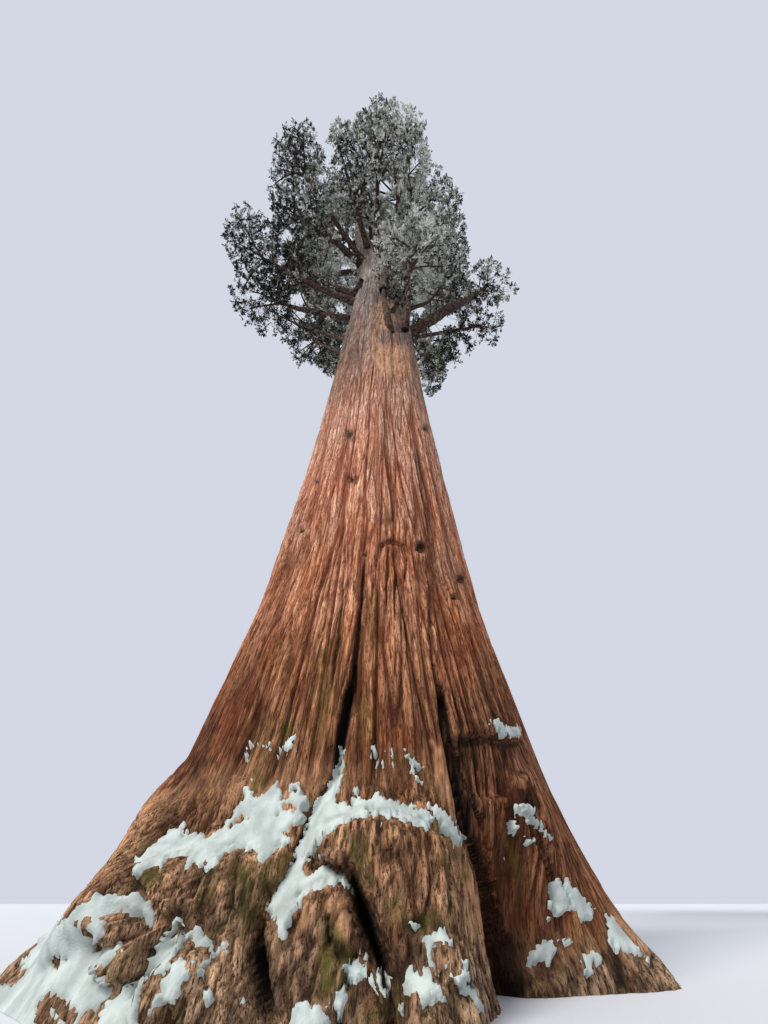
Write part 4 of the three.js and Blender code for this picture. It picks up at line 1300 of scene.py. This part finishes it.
def limb_of(name):
    """The line and radii of the limb that carries a mass."""
    places, triangles = node_mesh("foliage_" + name)
    middle = places.mean(axis=0)
    if name in carried:
        points, radii = bough_sections("bough_" + name, middle)
        points.insert(0, points[0] - INTO_TRUNK * (points[1] - points[0]))
        start_radius, end_radius = radii[0] * BOUGH_SLIMNESS, radii[-1] * BOUGH_SLIMNESS
        neck = len(points)
    else:
        out = np.linalg.norm(middle[:2] - bole_middle(middle[2]))
        leaves = middle[2] - UPPER_LIMB_STEEPNESS * out - UPPER_LIMB_DROP
        leaves = min(leaves, TOP_RING - BELOW_TOP)
        foot = np.array([*bole_middle(leaves), leaves])
        knee = foot + (middle - foot) * KNEE_SHARE - np.array([0, 0, KNEE_SAG * out])
        points, neck = [foot, knee], 2
        start_radius, end_radius = UPPER_LIMB_RADII
    inwards = middle - points[-1]
    heading = unit(inwards + np.array([0, 0, TIP_RISE * np.linalg.norm(inwards)]))
    solid = BVHTree.FromPolygons([Vector(p) for p in places], triangles)
    hit = solid.ray_cast(Vector(middle), Vector(heading))
    reach = hit[3] if hit[0] else 1.0
    for share in LIMB_REACHES:
        tip = middle + heading * reach * share
        if inside_depth(*to_pixels(tip[None]), CROWN_OUTLINE)[0] > TIP_MARGIN_PIXELS:
            break
    points += [middle, tip]
    line = smooth_line(points, LIMB_POINTS)
    steps = np.linalg.norm(np.diff(np.array(points), axis=0), axis=1)
    entry = steps[:neck - 1].sum() / steps.sum()
    share = np.linspace(0, 1, LIMB_POINTS)
    radii = np.interp(share, [0, entry, 1], [start_radius, end_radius, TIP_RADIUS])
    return line, radii


limbs = {name: limb_of(name) for name in masses}
print("limbs of the masses", len(limbs))

# %% Two upright limbs
# two upright limbs stand before the trunk: where they leave it in the photograph, and their tips
UPRIGHTS = {"upright_left": [(391, 334), (387, 314), (383, 294), (388, 272)],
            "upright_right": [(405, 330), (407, 312), (409, 290), (404, 268)]}
UPRIGHT_STANDS = [-1.05, -1.42, -1.60, -1.80]
UPRIGHT_RADII = (0.13, 0.03)


def seen_at(across, down, stand):
    """The place at a distance behind the trunk's axis that shows at a point of the photograph."""
    aim = AHEAD + np.array([1.0, 0, 0]) * (across - PHOTO_WIDTH / 2) / FOCAL_PIXELS
    aim = aim - UPWARD * (down - PHOTO_HEIGHT / 2) / FOCAL_PIXELS
    return CAMERA_PLACE + aim * (stand - CAMERA_PLACE[1]) / aim[1]


for name, spots in UPRIGHTS.items():
    points = [seen_at(x, y, stand) for (x, y), stand in zip(spots, UPRIGHT_STANDS)]
    limbs[name] = smooth_line(points, LIMB_POINTS), np.linspace(*UPRIGHT_RADII, LIMB_POINTS)
print("limbs", len(limbs), "longest", round(max(np.linalg.norm(np.diff(line, axis=0), axis=1).sum()
                                                for line, _ in limbs.values()), 2), "m")

# %% The finish of bough bark and the limbs themselves
BOUGH_COLUMNS, BOUGH_ROWS = 16, 56
LIMB_ROUGHNESS, ROUGH_SIZE = 0.22, 0.16
LIMB_SWELLING, SWELL_SIZE = 0.20, 0.45
LIMB_CLOSES_FROM = 0.98
# grey-brown plates about a hand wide with dark gaps, dry and without gloss
bough_bark = mottled("scaly_bough_bark", 0.95, 0.15, (9.0, 5.0),
                     [(0.30, "#1d1512"), (0.50, "#3f302a"), (0.72, "#6e5a4e")], (9.0, 5.0, 0.8, 0.02))


def tube_sides(lines):
    """Two directions across each line at every point of it, as a frame for a tube."""
    ahead = unit(np.gradient(lines, axis=-2))
    chord = np.abs(lines[..., -1, :] - lines[..., 0, :])
    steady = np.eye(3)[np.argmin(chord, axis=-1)]
    side = unit(np.cross(ahead, steady[..., None, :]))
    return side, np.cross(ahead, side)


def limb_skin(line, radii):
    """The shape of a limb's bark, with flakes and swellings, closed at its tip."""
    side, other = tube_sides(line)

    def shape(across, up):
        row = np.clip(up / LIMB_CLOSES_FROM, 0, 1) * (LIMB_POINTS - 1)
        low = np.minimum(row.astype(int), LIMB_POINTS - 2)
        part = (row - low)[:, None]
        middle = line[low] * (1 - part) + line[low + 1] * part
        radius = radii[low] * (1 - part[:, 0]) + radii[low + 1] * part[:, 0]
        turn = 2 * np.pi * across
        arm = side[low] * np.cos(turn)[:, None] + other[low] * np.sin(turn)[:, None]
        rough = 1 + LIMB_ROUGHNESS * noise((middle + arm * radius[:, None]) / ROUGH_SIZE, 71)
        rough += LIMB_SWELLING * noise(middle / SWELL_SIZE, 72)
        rough *= np.where(up > LIMB_CLOSES_FROM, 0.0, 1.0)
        return (middle + arm * (radius * rough)[:, None],)
    return shape


for name, (line, radii) in limbs.items():
    mesh = shaped_grid("limb_" + name, BOUGH_COLUMNS, BOUGH_ROWS, limb_skin(line, radii), close=True)
    replaced = ["bough_" + name] if name in carried else ["foliage_" + name]
    replaced = [] if name in UPRIGHTS else replaced
    add_piece("limb_" + name, mesh, bough_bark, replaced)

# %% [markdown]
# The foliage is thousands of tufts that fill the outer metre of each mass, with fewer inside.
# A tuft may stand a little outside its mass, so the edge is ragged. The crown is thinned where
# noise says so and where the photograph shows sky or the trunk through it, and it is trimmed to
# the outline that the photograph shows.

# %% Gaps in the crown
# middle and radius of each patch of sky, in pixels
SKY_GAPS = [
    (286, 236, 6), (282, 262, 4), (253, 294, 5), (298, 300, 8), (300, 314, 6), (292, 326, 4),
    (340, 308, 5), (344, 272, 5), (340, 228, 5), (344, 240, 6), (346, 250, 5), (329, 150, 7),
    (327, 164, 5), (322, 178, 4), (385, 187, 7), (395, 201, 4), (376, 128, 3), (399, 113, 4),
    (414, 162, 4), (411, 172, 4), (436, 204, 4), (446, 194, 3), (423, 212, 5), (398, 241, 4),
    (437, 327, 8), (419, 310, 5), (416, 332, 4), (434, 342, 3), (452, 320, 7), (433, 354, 2),
    (485, 309, 5), (424, 366, 1), (268, 216, 5), (309, 150, 3), (317, 132, 4), (232, 262, 2),
    (474, 280, 4), (460, 345, 4), (305, 345, 5), (318, 349, 4), (270, 322, 4),
]
TRUNK_SHOWS = [(346, 222), (366, 220), (376, 246), (379, 270), (376, 300), (396, 304), (398, 326),
               (412, 336), (412, 352), (338, 352), (344, 330), (350, 296), (352, 262)]
SHOWN_TRUNK_KEEPS = 0.03
GAP_GROWTH = 2.0


def inside_any(across, down, shapes):
    """Whether spots of the picture lie in any of some circles."""
    found = np.zeros(len(across), bool)
    for x, y, radius in shapes:
        found |= np.hypot(across - x, down - y) < radius + GAP_GROWTH
    return found


print("gaps of sky", len(SKY_GAPS))

# %% The masses as solids to measure depths in
# a triangle that touches another mass or the trunk is not on the crown's open side
TOUCHING = 0.01
trunk_places, trunk_triangles = node_mesh("trunk")
solids, all_places, all_triangles, owners = {}, [trunk_places], list(trunk_triangles), []
owners += [-1] * len(trunk_triangles)
shift = len(trunk_places)
for number, name in enumerate(masses):
    places, triangles = node_mesh("foliage_" + name)
    solids[name] = BVHTree.FromPolygons([Vector(p) for p in places], triangles)
    all_places.append(places)
    all_triangles += [tuple(i + shift for i in triangle) for triangle in triangles]
    owners += [number] * len(triangles)
    shift += len(places)
all_places = np.concatenate(all_places)
everything = BVHTree.FromPolygons([Vector(p) for p in all_places], all_triangles)
open_triangles = []
for triangle, owner in zip(all_triangles, owners):
    middle = Vector(all_places[list(triangle)].mean(axis=0))
    near = everything.find_nearest_range(middle, TOUCHING)
    if owner >= 0 and all(owners[hit[2]] == owner for hit in near):
        open_triangles.append(triangle)
open_side = BVHTree.FromPolygons([Vector(p) for p in all_places], open_triangles)
print("outer triangles", len(open_triangles), "of", len(all_triangles))

# %% Places for tufts
TUFT_SPACING, DEEP_SPACING = 0.39, 0.72
TUFT_MARGIN_PIXELS = 2.0
INNER_DEPTHS = (0.7, 1.8)
STAND_OUT = 0.38
CANDIDATES_PER_METRE3 = 70
RAGGED_STAND_OUT, STAND_OUT_SIZE = (-0.30, 0.35), 0.8
AIRY_LEVEL, AIRY_SHELL, AIRY_DEPTHS, AIRY_SIZE = -0.36, 0.25, (0.9, 0.0), 1.1
OPEN_LEVEL, OPEN_MORE, OPEN_SIZE = -0.22, 0.16, 0.55
# how much looser the crown's ends are, and the pixels between which that sets in
LOOSE_ENDS = [(1.2, 345, 290), (0.3, 430, 480)]
LOOSE_LOW_LEFT, LOW_DOWN, LEFT_ACROSS = 0.4, (270, 310), (330, 300)
OUTLINE_WOBBLE, WOBBLE_SIZE = 3.0, 0.5
CLEAR_OF_BARK = 0.25
rng = np.random.default_rng(2000)
wanted, homes, depths = [], [], []
for number, name in enumerate(masses):
    low, high = (np.array(corner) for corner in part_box("foliage_" + name))
    low, high = low - STAND_OUT, high + STAND_OUT
    count = int(np.prod(high - low) * CANDIDATES_PER_METRE3)
    for spot in rng.uniform(low, high, (count, 3)):
        place, normal, _, gap = solids[name].find_nearest(Vector(spot))
        outside = (Vector(spot) - place).dot(normal) > 0
        if outside and gap > STAND_OUT:
            continue
        depth = -gap if outside else open_side.find_nearest(Vector(spot))[3]
        wanted.append(spot)
        homes.append(number)
        depths.append(depth)
wanted, homes, depths = np.array(wanted), np.array(homes), np.array(depths)
print("candidates", len(wanted))

keep = depths > -STAND_OUT * smooth_step(noise(wanted / STAND_OUT_SIZE, 81), *RAGGED_STAND_OUT)
keep &= noise(wanted / AIRY_SIZE, 82) > AIRY_LEVEL + AIRY_SHELL * smooth_step(depths, *AIRY_DEPTHS)
# the crown is looser at its left and right ends, and most of all low on the left
across, down = to_pixels(wanted)
loose = sum(more * smooth_step(across, begins, full) for more, begins, full in LOOSE_ENDS)
loose += LOOSE_LOW_LEFT * smooth_step(down, *LOW_DOWN) * smooth_step(across, *LEFT_ACROSS)
keep &= noise(wanted / OPEN_SIZE, 84) > OPEN_LEVEL + OPEN_MORE * loose
wobble = OUTLINE_WOBBLE * noise(wanted / WOBBLE_SIZE, 83)
keep &= inside_depth(across, down, CROWN_OUTLINE) > wobble + TUFT_MARGIN_PIXELS
keep &= ~inside_any(across + wobble, down - wobble, SKY_GAPS)
before = wanted[:, 1] < bole_middle(wanted[:, 2])[:, 1]
shown = before & (inside_depth(across, down, TRUNK_SHOWS) > 0)
keep &= ~shown | (rng.random(len(wanted)) < SHOWN_TRUNK_KEEPS)
from_axis = np.linalg.norm(wanted[:, :2] - bole_middle(wanted[:, 2]), axis=1)
bearings = np.degrees(np.arctan2(wanted[:, 0], -wanted[:, 1])) % 360
keep &= from_axis > bole_radius(bearings, wanted[:, 2]) + CLEAR_OF_BARK
wanted, homes, depths = wanted[keep], homes[keep], depths[keep]

# %% Tufts that keep their distance
# a tuft is taken in a random order, and only where no taken one is near
spacing = smooth_step(depths, *INNER_DEPTHS)
spacing = TUFT_SPACING + (DEEP_SPACING - TUFT_SPACING) * spacing
taken, tufts = {}, []


def is_crowded(spot, cell, reach):
    """Whether a taken tuft lies nearer than reach, in the cell of a spot or one beside it."""
    x, y, z = spot
    for i, j, k in np.ndindex(3, 3, 3):
        for place in taken.get((cell[0] + i - 1, cell[1] + j - 1, cell[2] + k - 1), ()):
            if (place[0] - x) ** 2 + (place[1] - y) ** 2 + (place[2] - z) ** 2 < reach * reach:
                return True
    return False


for index in rng.permutation(len(wanted)):
    cell = tuple(np.floor(wanted[index] / DEEP_SPACING).astype(int))
    if not is_crowded(wanted[index], cell, spacing[index]):
        taken.setdefault(cell, []).append(tuple(wanted[index]))
        tufts.append(index)
tufts = np.sort(np.array(tufts))
tuft_places, tuft_homes, tuft_depths = wanted[tufts], homes[tufts], depths[tufts]
print("tufts that found room", len(tufts), "of", len(wanted))

# %% A veil of tufts before the trunk
# the upright limbs carry tufts that hide the trunk's right half, as the photograph shows
VEIL = [(376, 262), (384, 256), (398, 256), (412, 262), (413, 300), (410, 313), (404, 314),
        (399, 306), (394, 299), (382, 298), (376, 284)]
VEIL_TUFTS = 90
VEIL_BOTTOM = 13.3
# pixels across and down, and the distance behind the trunk's axis
VEIL_LOW, VEIL_HIGH = (372, 254, -1.9), (418, 320, -1.3)
BETWEEN_UPRIGHTS = 396
veil = []
while len(veil) < VEIL_TUFTS:
    x, y, stand = rng.uniform(VEIL_LOW, VEIL_HIGH)
    spot = seen_at(x, y, stand)
    if spot[2] > VEIL_BOTTOM and inside_depth(np.array([x]), np.array([y]), VEIL)[0] > 0:
        veil.append((spot, len(masses) + int(x > BETWEEN_UPRIGHTS)))
tuft_places = np.concatenate([tuft_places, [spot for spot, _ in veil]])
tuft_homes = np.concatenate([tuft_homes, [home for _, home in veil]])
tuft_depths = np.concatenate([tuft_depths, np.zeros(len(veil))])
print("tufts", len(tuft_places))

# %% [markdown]
# The foliage must hang on something. In each mass the tufts are gathered into groups, a branch
# grows from the limb to the middle of each group, and a twig grows from the branch to each tuft.
# Branches are raised a little at their bend, and twigs sag a little. Thousands of twigs as single
# objects would be slow, so one small tube from Blender's operators is copied into joined meshes,
# corner by corner.

# %% Thin tubes in one mesh
# a slanting direction, in which no two faces of a tube are level
FACE_ORDER = Vector((1.0, 0.3, 10.0))


def tube_template(sides, rings):
    """An open tube of unit radius that ends in a point, with its rings at heights 0, 1, 2."""
    tube = bmesh.new()
    ring = bmesh.ops.create_circle(tube, segments=sides, radius=1.0)["verts"]
    edges = tube.edges[:]
    for _ in range(rings - 1):
        grown = bmesh.ops.extrude_edge_only(tube, edges=edges)["geom"]
        ring = [part for part in grown if isinstance(part, bmesh.types.BMVert)]
        edges = [part for part in grown if isinstance(part, bmesh.types.BMEdge)]
        bmesh.ops.translate(tube, verts=ring, vec=(0, 0, 1))
    bmesh.ops.pointmerge(tube, verts=ring, merge_co=(0, 0, rings - 1))
    bmesh.ops.recalc_face_normals(tube, faces=tube.faces)
    # extruding hands the faces back in another order each run, and sorting makes it one order
    tube.faces.sort(key=lambda face: face.calc_center_median().dot(FACE_ORDER))
    mesh = bpy.data.meshes.new("tube_template")
    tube.to_mesh(mesh)
    tube.free()
    return mesh


def joined_copies(name, template, places):
    """One mesh of many copies of a template, whose corners have places of their own."""
    count, corners = places.shape[:2]
    loops = np.array([loop.vertex_index for loop in template.loops])
    starts = np.array([face.loop_start for face in template.polygons])
    numbers = np.arange(count)[:, None]
    mesh = bpy.data.meshes.new(name)
    mesh.vertices.add(count * corners)
    mesh.vertices.foreach_set("co", places.astype(np.float32).ravel())
    mesh.loops.add(count * len(loops))
    mesh.loops.foreach_set("vertex_index", (loops + numbers * corners).ravel())
    mesh.polygons.add(count * len(starts))
    mesh.polygons.foreach_set("loop_start", (starts + numbers * len(loops)).ravel())
    mesh.update(calc_edges=True)
    return mesh


def tubes(name, lines, radii, sides):
    """A joined mesh of thin tubes along lines."""
    template = tube_template(sides, lines.shape[1])
    spots = np.array([v.co[:] for v in template.vertices])
    rings = spots[:, 2].round().astype(int)
    side, other = tube_sides(lines)
    places = lines[:, rings] + radii[:, rings, None] * (
        side[:, rings] * spots[:, 0, None] + other[:, rings] * spots[:, 1, None])
    mesh = joined_copies(name, template, places)
    mesh.shade_smooth()
    bpy.data.meshes.remove(template)
    return mesh


small_tube = tube_template(3, 4)
print("corners of a small tube", len(small_tube.vertices))
bpy.data.meshes.remove(small_tube)

# %% How branches and twigs grow
TUFTS_PER_BRANCH, LEAST_BRANCHES = 13, 4
FIRST_BRANCH_POINT = LIMB_POINTS // 3
BRANCH_POINTS, TWIG_POINTS = 7, 4
BRANCH_LEAVES_BACK = 0.45
BRANCH_BEND, BRANCH_FOLLOWS_LIMB, BRANCH_STRAY, BRANCH_RISE = 0.4, 0.25, 0.06, 0.05
BRANCH_OVERSHOOT = 0.15
TWIG_FAVOURS_BASE = 0.12
TWIG_STRAY, TWIG_SAG = 0.12, 0.10


def bent_lines(starts, bends, ends, count):
    """Curved lines from starts to ends, drawn towards a bend between them."""
    share = np.linspace(0, 1, count)[None, :, None]
    return ((1 - share) ** 2 * starts[:, None] + 2 * share * (1 - share) * bends[:, None]
            + share ** 2 * ends[:, None])


def grow_mass(number, name):
    """Branch lines of one mass, and the line of the twig that ends in each of its tufts."""
    own = np.flatnonzero(tuft_homes == number)
    spots = tuft_places[own]
    line, _ = limbs[name]
    count = max(LEAST_BRANCHES, len(own) // TUFTS_PER_BRANCH)
    seeds = [int(rng.integers(len(own)))]
    gaps = np.linalg.norm(spots - spots[seeds[0]], axis=1)
    while len(seeds) < count:
        seeds.append(int(gaps.argmax()))
        gaps = np.minimum(gaps, np.linalg.norm(spots - spots[seeds[-1]], axis=1))
    nearest = np.linalg.norm(spots[:, None] - spots[seeds][None], axis=2).argmin(axis=1)
    ends = np.stack([spots[nearest == i].mean(axis=0) for i in range(count)])
    along = line[FIRST_BRANCH_POINT:]
    gaps = np.linalg.norm(ends[:, None] - along[None], axis=2)
    near = gaps.argmin(axis=1)
    reach = gaps.min(axis=1)
    step = np.linalg.norm(along[1] - along[0])
    from_point = np.maximum(near - (BRANCH_LEAVES_BACK * reach / step).astype(int), 0)
    starts = along[from_point]
    ahead = unit(along[np.minimum(from_point + 2, len(along) - 1)] - starts + 1e-6)
    bends = starts + (ends - starts) * BRANCH_BEND + ahead * BRANCH_FOLLOWS_LIMB * reach[:, None]
    bends += rng.normal(0, BRANCH_STRAY, ends.shape) * reach[:, None] + [0, 0, BRANCH_RISE]
    tips = ends + (ends - bends) * BRANCH_OVERSHOOT
    branches = bent_lines(starts, bends, tips, BRANCH_POINTS)
    outer = branches[nearest][:, 2:]
    gaps = np.linalg.norm(outer - spots[:, None], axis=2)
    gaps += TWIG_FAVOURS_BASE * np.arange(outer.shape[1])
    twig_starts = outer[np.arange(len(own)), gaps.argmin(axis=1)]
    reach = np.linalg.norm(spots - twig_starts, axis=1, keepdims=True)
    twig_bends = (twig_starts + spots) / 2 + rng.normal(0, TWIG_STRAY, spots.shape) * reach
    twig_bends[:, 2] -= TWIG_SAG * reach[:, 0]
    return branches, bent_lines(twig_starts, twig_bends, spots, TWIG_POINTS)


branch_lines, twig_lines = [], np.zeros((len(tuft_places), TWIG_POINTS, 3))
for number, name in enumerate(masses + list(UPRIGHTS)):
    branches, twigs = grow_mass(number, name)
    branch_lines.append(branches)
    twig_lines[tuft_homes == number] = twigs
branch_lines = np.concatenate(branch_lines)
print("branches", len(branch_lines), "twigs", len(twig_lines))

# %% Branches and twigs
BRANCH_SIDES, TWIG_SIDES = 5, 3
BRANCH_RADIUS, BRANCH_RADIUS_PER_METRE, TWIG_RADIUS = 0.020, 0.022, 0.013
BRANCH_TIP_SHARE, TWIG_TIP_SHARE = 0.3, 0.4
branch_lengths = np.linalg.norm(branch_lines[:, -1] - branch_lines[:, 0], axis=1)
branch_radii = BRANCH_RADIUS + BRANCH_RADIUS_PER_METRE * branch_lengths
branch_radii = branch_radii[:, None] * np.linspace(1, BRANCH_TIP_SHARE, BRANCH_POINTS)
twig_radii = np.full((len(tuft_places), 1), TWIG_RADIUS)
twig_radii = twig_radii * np.linspace(1, TWIG_TIP_SHARE, TWIG_POINTS)
# thin smooth bark of young shoots, brown and not yet scaly
twig_bark = mottled("young_twig_bark", 0.9, 0.5, (12.0, 2.0), [(0.35, "#2d2420"), (0.65, "#574a40")])
foliage_nodes = ["foliage_" + name for name in masses]
for name, lines, radii, sides, finish in (
        ("branches", branch_lines, branch_radii, BRANCH_SIDES, bough_bark),
        ("twigs", twig_lines, twig_radii, TWIG_SIDES, twig_bark)):
    add_piece(name, tubes(name, lines, radii, sides), finish, foliage_nodes)

# %% [markdown]
# A sequoia's shoots are clad in short pointed scales, and they stand together in bristly tufts.
# A spray here is ten narrow pointed blades round a short stem. Each blade stands for one shoot with
# its scales, about twice as large as life, since a true count would run to hundreds of millions.
# Three sprays of different make are drawn, and every tuft gets several, turned and sized at random.

# %% Sprays of needles
LEAF_LENGTH, LEAF_WIDTH = 0.128, 0.041
LEAVES_PER_SPRAY = 10
SPRAY_STEM = 0.13
SIZE_SWING = (0.85, 1.15)
TIP_SHORTER = 0.25
ROLL_SWING, LEAN_SWING = 1.2, 10
LEAN_AT_TIP, LEAN_RANGE = 86, 62
SPRAYS_PER_TUFT = 6
TUFT_RADIUS = 0.12
SPRAY_MAKES = 3
GOLDEN_ANGLE = math.radians(137.5)


def spray_template(seed):
    """Ten pointed leaves round a stem that grows along +Z."""
    dice = np.random.default_rng(seed)
    spray = bmesh.new()
    for leaf in range(LEAVES_PER_SPRAY):
        corners = bmesh.ops.create_circle(spray, cap_ends=True, segments=4, radius=0.5)["verts"]
        share = leaf / (LEAVES_PER_SPRAY - 1)
        length = LEAF_LENGTH * (1 - TIP_SHORTER * share) * dice.uniform(*SIZE_SWING)
        width = LEAF_WIDTH * dice.uniform(*SIZE_SWING)
        bmesh.ops.scale(spray, verts=corners, vec=(length, width, 1))
        bmesh.ops.translate(spray, verts=corners, vec=(length / 2, 0, 0))
        roll = dice.uniform(-ROLL_SWING, ROLL_SWING)
        lean = LEAN_AT_TIP - LEAN_RANGE * (1 - share)
        lean = math.radians(lean + dice.uniform(-LEAN_SWING, LEAN_SWING))
        for turn, axis in ((roll, "X"), (-lean, "Y"), (leaf * GOLDEN_ANGLE, "Z")):
            bmesh.ops.rotate(spray, verts=corners, matrix=Matrix.Rotation(turn, 3, axis))
        bmesh.ops.translate(spray, verts=corners, vec=(0, 0, SPRAY_STEM * share))
    mesh = bpy.data.meshes.new("spray_template")
    spray.to_mesh(mesh)
    spray.free()
    return mesh


templates = [spray_template(seed) for seed in range(SPRAY_MAKES)]
spray_corners = np.stack([[v.co[:] for v in template.vertices] for template in templates])
print("makes of spray and their corners", spray_corners.shape[:2])

# %% Where each spray stands and how it is turned
ALONG_TWIG, AT_RANDOM, UPRIGHTNESS = 0.55, 0.9, np.array([0, 0, 0.15])
OUT_OF_TUFT = 0.03
SPRAY_SIZES = (0.80, 1.20)
VEIL_SPRAY_SIZE = 0.65
owner = np.repeat(np.arange(len(tuft_places)), SPRAYS_PER_TUFT)
outward = unit(twig_lines[owner, -1] - twig_lines[owner, -2])
scatter = unit(rng.normal(size=(len(owner), 3)))
heading = unit(outward * ALONG_TWIG + scatter * AT_RANDOM + UPRIGHTNESS)
stray = rng.normal(0, TUFT_RADIUS / 2, (len(owner), 3))
bases = tuft_places[owner] + heading * OUT_OF_TUFT + stray
side = unit(np.cross(heading, unit(rng.normal(size=(len(owner), 3)))))
turned = np.stack([side, np.cross(heading, side), heading], axis=2)
is_veil = tuft_homes >= len(masses)
sizes = rng.uniform(*SPRAY_SIZES, len(owner)) * np.where(is_veil[owner], VEIL_SPRAY_SIZE, 1)
makes = rng.integers(0, SPRAY_MAKES, len(owner))
print("sprays", len(owner))

# %% [markdown]
# Old snow and frost lie on the sprays in places. Each spray gets one of six plain colours, from deep
# shade to lit and frosted, which paint light and shade into the foliage: the choice follows how deep
# it is in the crown, where it stands in the crown and a slow noise, so neighbouring tufts are alike.
# The sprays of one colour are one joined mesh.

# %% The finishes of the needles
# from deep shade to lit and frosted, painted light and shade on one kind of needle with frost on
# the palest: the colour and the share of all sprays that it is dealt to
NEEDLE_COLOURS = {"deep_shade": ("#0d0e11", 0.17), "shaded_green": ("#313329", 0.14),
                  "half_shaded_green": ("#717368", 0.15), "half_lit_green": ("#a5a698", 0.18),
                  "lit_green": ("#d0d2c8", 0.19), "frosted_and_lit": ("#f0f2ee", 0.17)}
NEEDLE_MOTTLE = 0.06


def needle_finish(title, code):
    """Matt waxy needles whose colour changes a little from leaf to leaf."""
    finish, tree, shader = new_material("sequoia_needles_" + title, code, 0.75)
    shader.inputs["Specular IOR Level"].default_value = 0.12
    where = add_node(tree, "ShaderNodeTexCoord", out="Object")
    mottle = add_node(tree, NOISE, {"Scale": 1 / NEEDLE_MOTTLE, "Vector": where})
    shade = add_node(tree, RAMP, {"stops": [(0.35, "#d2d0c8"), (0.65, "#ffffff")], "Fac": mottle})
    shade = add_node(tree, MIX, {**BLEND, "blend_type": "MULTIPLY", 0: 1.0, 6: code, 7: shade}, out=2)
    tree.links.new(shade, shader.inputs["Base Color"])
    return finish


print("colours of the needles", list(NEEDLE_COLOURS))

# %% Painted light and shade dealt out by spray
# size of the clumps in metres, how much they change and seed
CLUMPS = [(1.6, 1.2, 91), (0.65, 0.8, 92)]
SPECKS = 0.42
DEEP_SHADE, DEEP_FROM = 0.35, (0.2, 1.2)
# parts of the crown that are darker or lighter in the photograph, as painted shade, or painted light
# where the strength is below 0: middle and half size in pixels, and strength
SHADY_SPOTS = [(368, 138, 24, 28, 0.38), (346, 172, 20, 36, 0.50), (385, 190, 20, 18, -0.70)]
LEFT_SHADE, RIGHT_SHADE, LOW_SHADE = (1.10, 340, 270), (0.60, 415, 470), (0.55, 285, 340)
# painted light on the sprays near the trunk, and painted shade on the veil before it
TRUNK_GLOW, GLOW_MIDDLE, GLOW_WIDE, GLOW_FROM = 0.30, 392, 50, (200, 260)
VEIL_SHADE = -0.55

clump = sum(noise(tuft_places / size, seed) * change for size, change, seed in CLUMPS)[owner]
speck = rng.normal(0, SPECKS, len(owner))
across, down = to_pixels(tuft_places)
shade = np.zeros(len(tuft_places))
for where, (strength, begins, full) in ((across, LEFT_SHADE), (across, RIGHT_SHADE),
                                        (down, LOW_SHADE)):
    shade += strength * smooth_step(where, begins, full)
for x, y, wide, tall, strength in SHADY_SPOTS:
    shade += strength * np.exp(-((across - x) / wide) ** 2 - ((down - y) / tall) ** 2)
near_trunk = TRUNK_GLOW * np.exp(-((across - GLOW_MIDDLE) / GLOW_WIDE) ** 2)
near_trunk *= smooth_step(down, *GLOW_FROM)
lit = clump + speck - DEEP_SHADE * smooth_step(tuft_depths[owner], *DEEP_FROM)
lit += (np.where(is_veil, VEIL_SHADE, near_trunk) - shade)[owner]
ends_at = np.cumsum([share for _, share in NEEDLE_COLOURS.values()])
colour_of = np.empty(len(owner), int)
rank = np.arange(len(owner)) / len(owner)
colour_of[np.argsort(lit, kind="stable")] = np.searchsorted(ends_at, rank, side="right")
colour_of = np.minimum(colour_of, len(NEEDLE_COLOURS) - 1)

for number, (title, (code, _)) in enumerate(NEEDLE_COLOURS.items()):
    pick = np.flatnonzero(colour_of == number)
    places = np.einsum("nij,nkj->nki", turned[pick], spray_corners[makes[pick]])
    places = places * sizes[pick, None, None] + bases[pick, None]
    mesh = joined_copies("needles_" + title, templates[0], places)
    add_piece("needles_" + title, mesh, needle_finish(title, code), foliage_nodes)
for template in templates:
    bpy.data.meshes.remove(template)

# %% [markdown]
# The tree stands on a plain pale floor under an even pale sky of light. One broad sun from the
# left and a little behind the camera gives the bark its soft shadows, as on a bright winter day.

# %% Floor, light and a pale world
FLOOR_HALF = 160.0
SUN_STRENGTH, SUN_SOFTNESS = 3.3, math.radians(25)
SUN_COLOUR = (1.0, 0.965, 0.92)
SUN_HEADING = (0.50, 0.58, -0.64)
floor_mesh = bpy.data.meshes.new("floor")
floor_grid = bmesh.new()
bmesh.ops.create_grid(floor_grid, x_segments=1, y_segments=1, size=FLOOR_HALF)
floor_grid.to_mesh(floor_mesh)
floor_grid.free()
floor = bpy.data.objects.new("floor", floor_mesh)
scene.collection.objects.link(floor)
floor_finish, _, _ = new_material("pale_matt_floor", "#cfd2d6", 0.9)
floor_mesh.materials.append(floor_finish)
floor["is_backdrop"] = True

world = bpy.data.worlds.new("pale_world")
world.use_nodes = True
scene.world = world
background = world.node_tree.nodes["Background"]
background.inputs["Color"].default_value = colour("#d3d8e4")
background.inputs["Strength"].default_value = 1.0
sun_data = bpy.data.lights.new("soft_sun", "SUN")
sun_data.energy = SUN_STRENGTH
sun_data.angle = SUN_SOFTNESS
sun_data.color = SUN_COLOUR
sun = bpy.data.objects.new("soft_sun", sun_data)
sun.rotation_euler = Vector(SUN_HEADING).to_track_quat("-Z", "Y").to_euler()
scene.collection.objects.link(sun)
scene.view_settings.view_transform = "Standard"
scene.view_settings.look = "None"
print("sun", SUN_STRENGTH, "heading", SUN_HEADING)

# %% The size of what is drawn
low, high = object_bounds()
print("visual", [round(v, 3) for v in (*low, *high)])
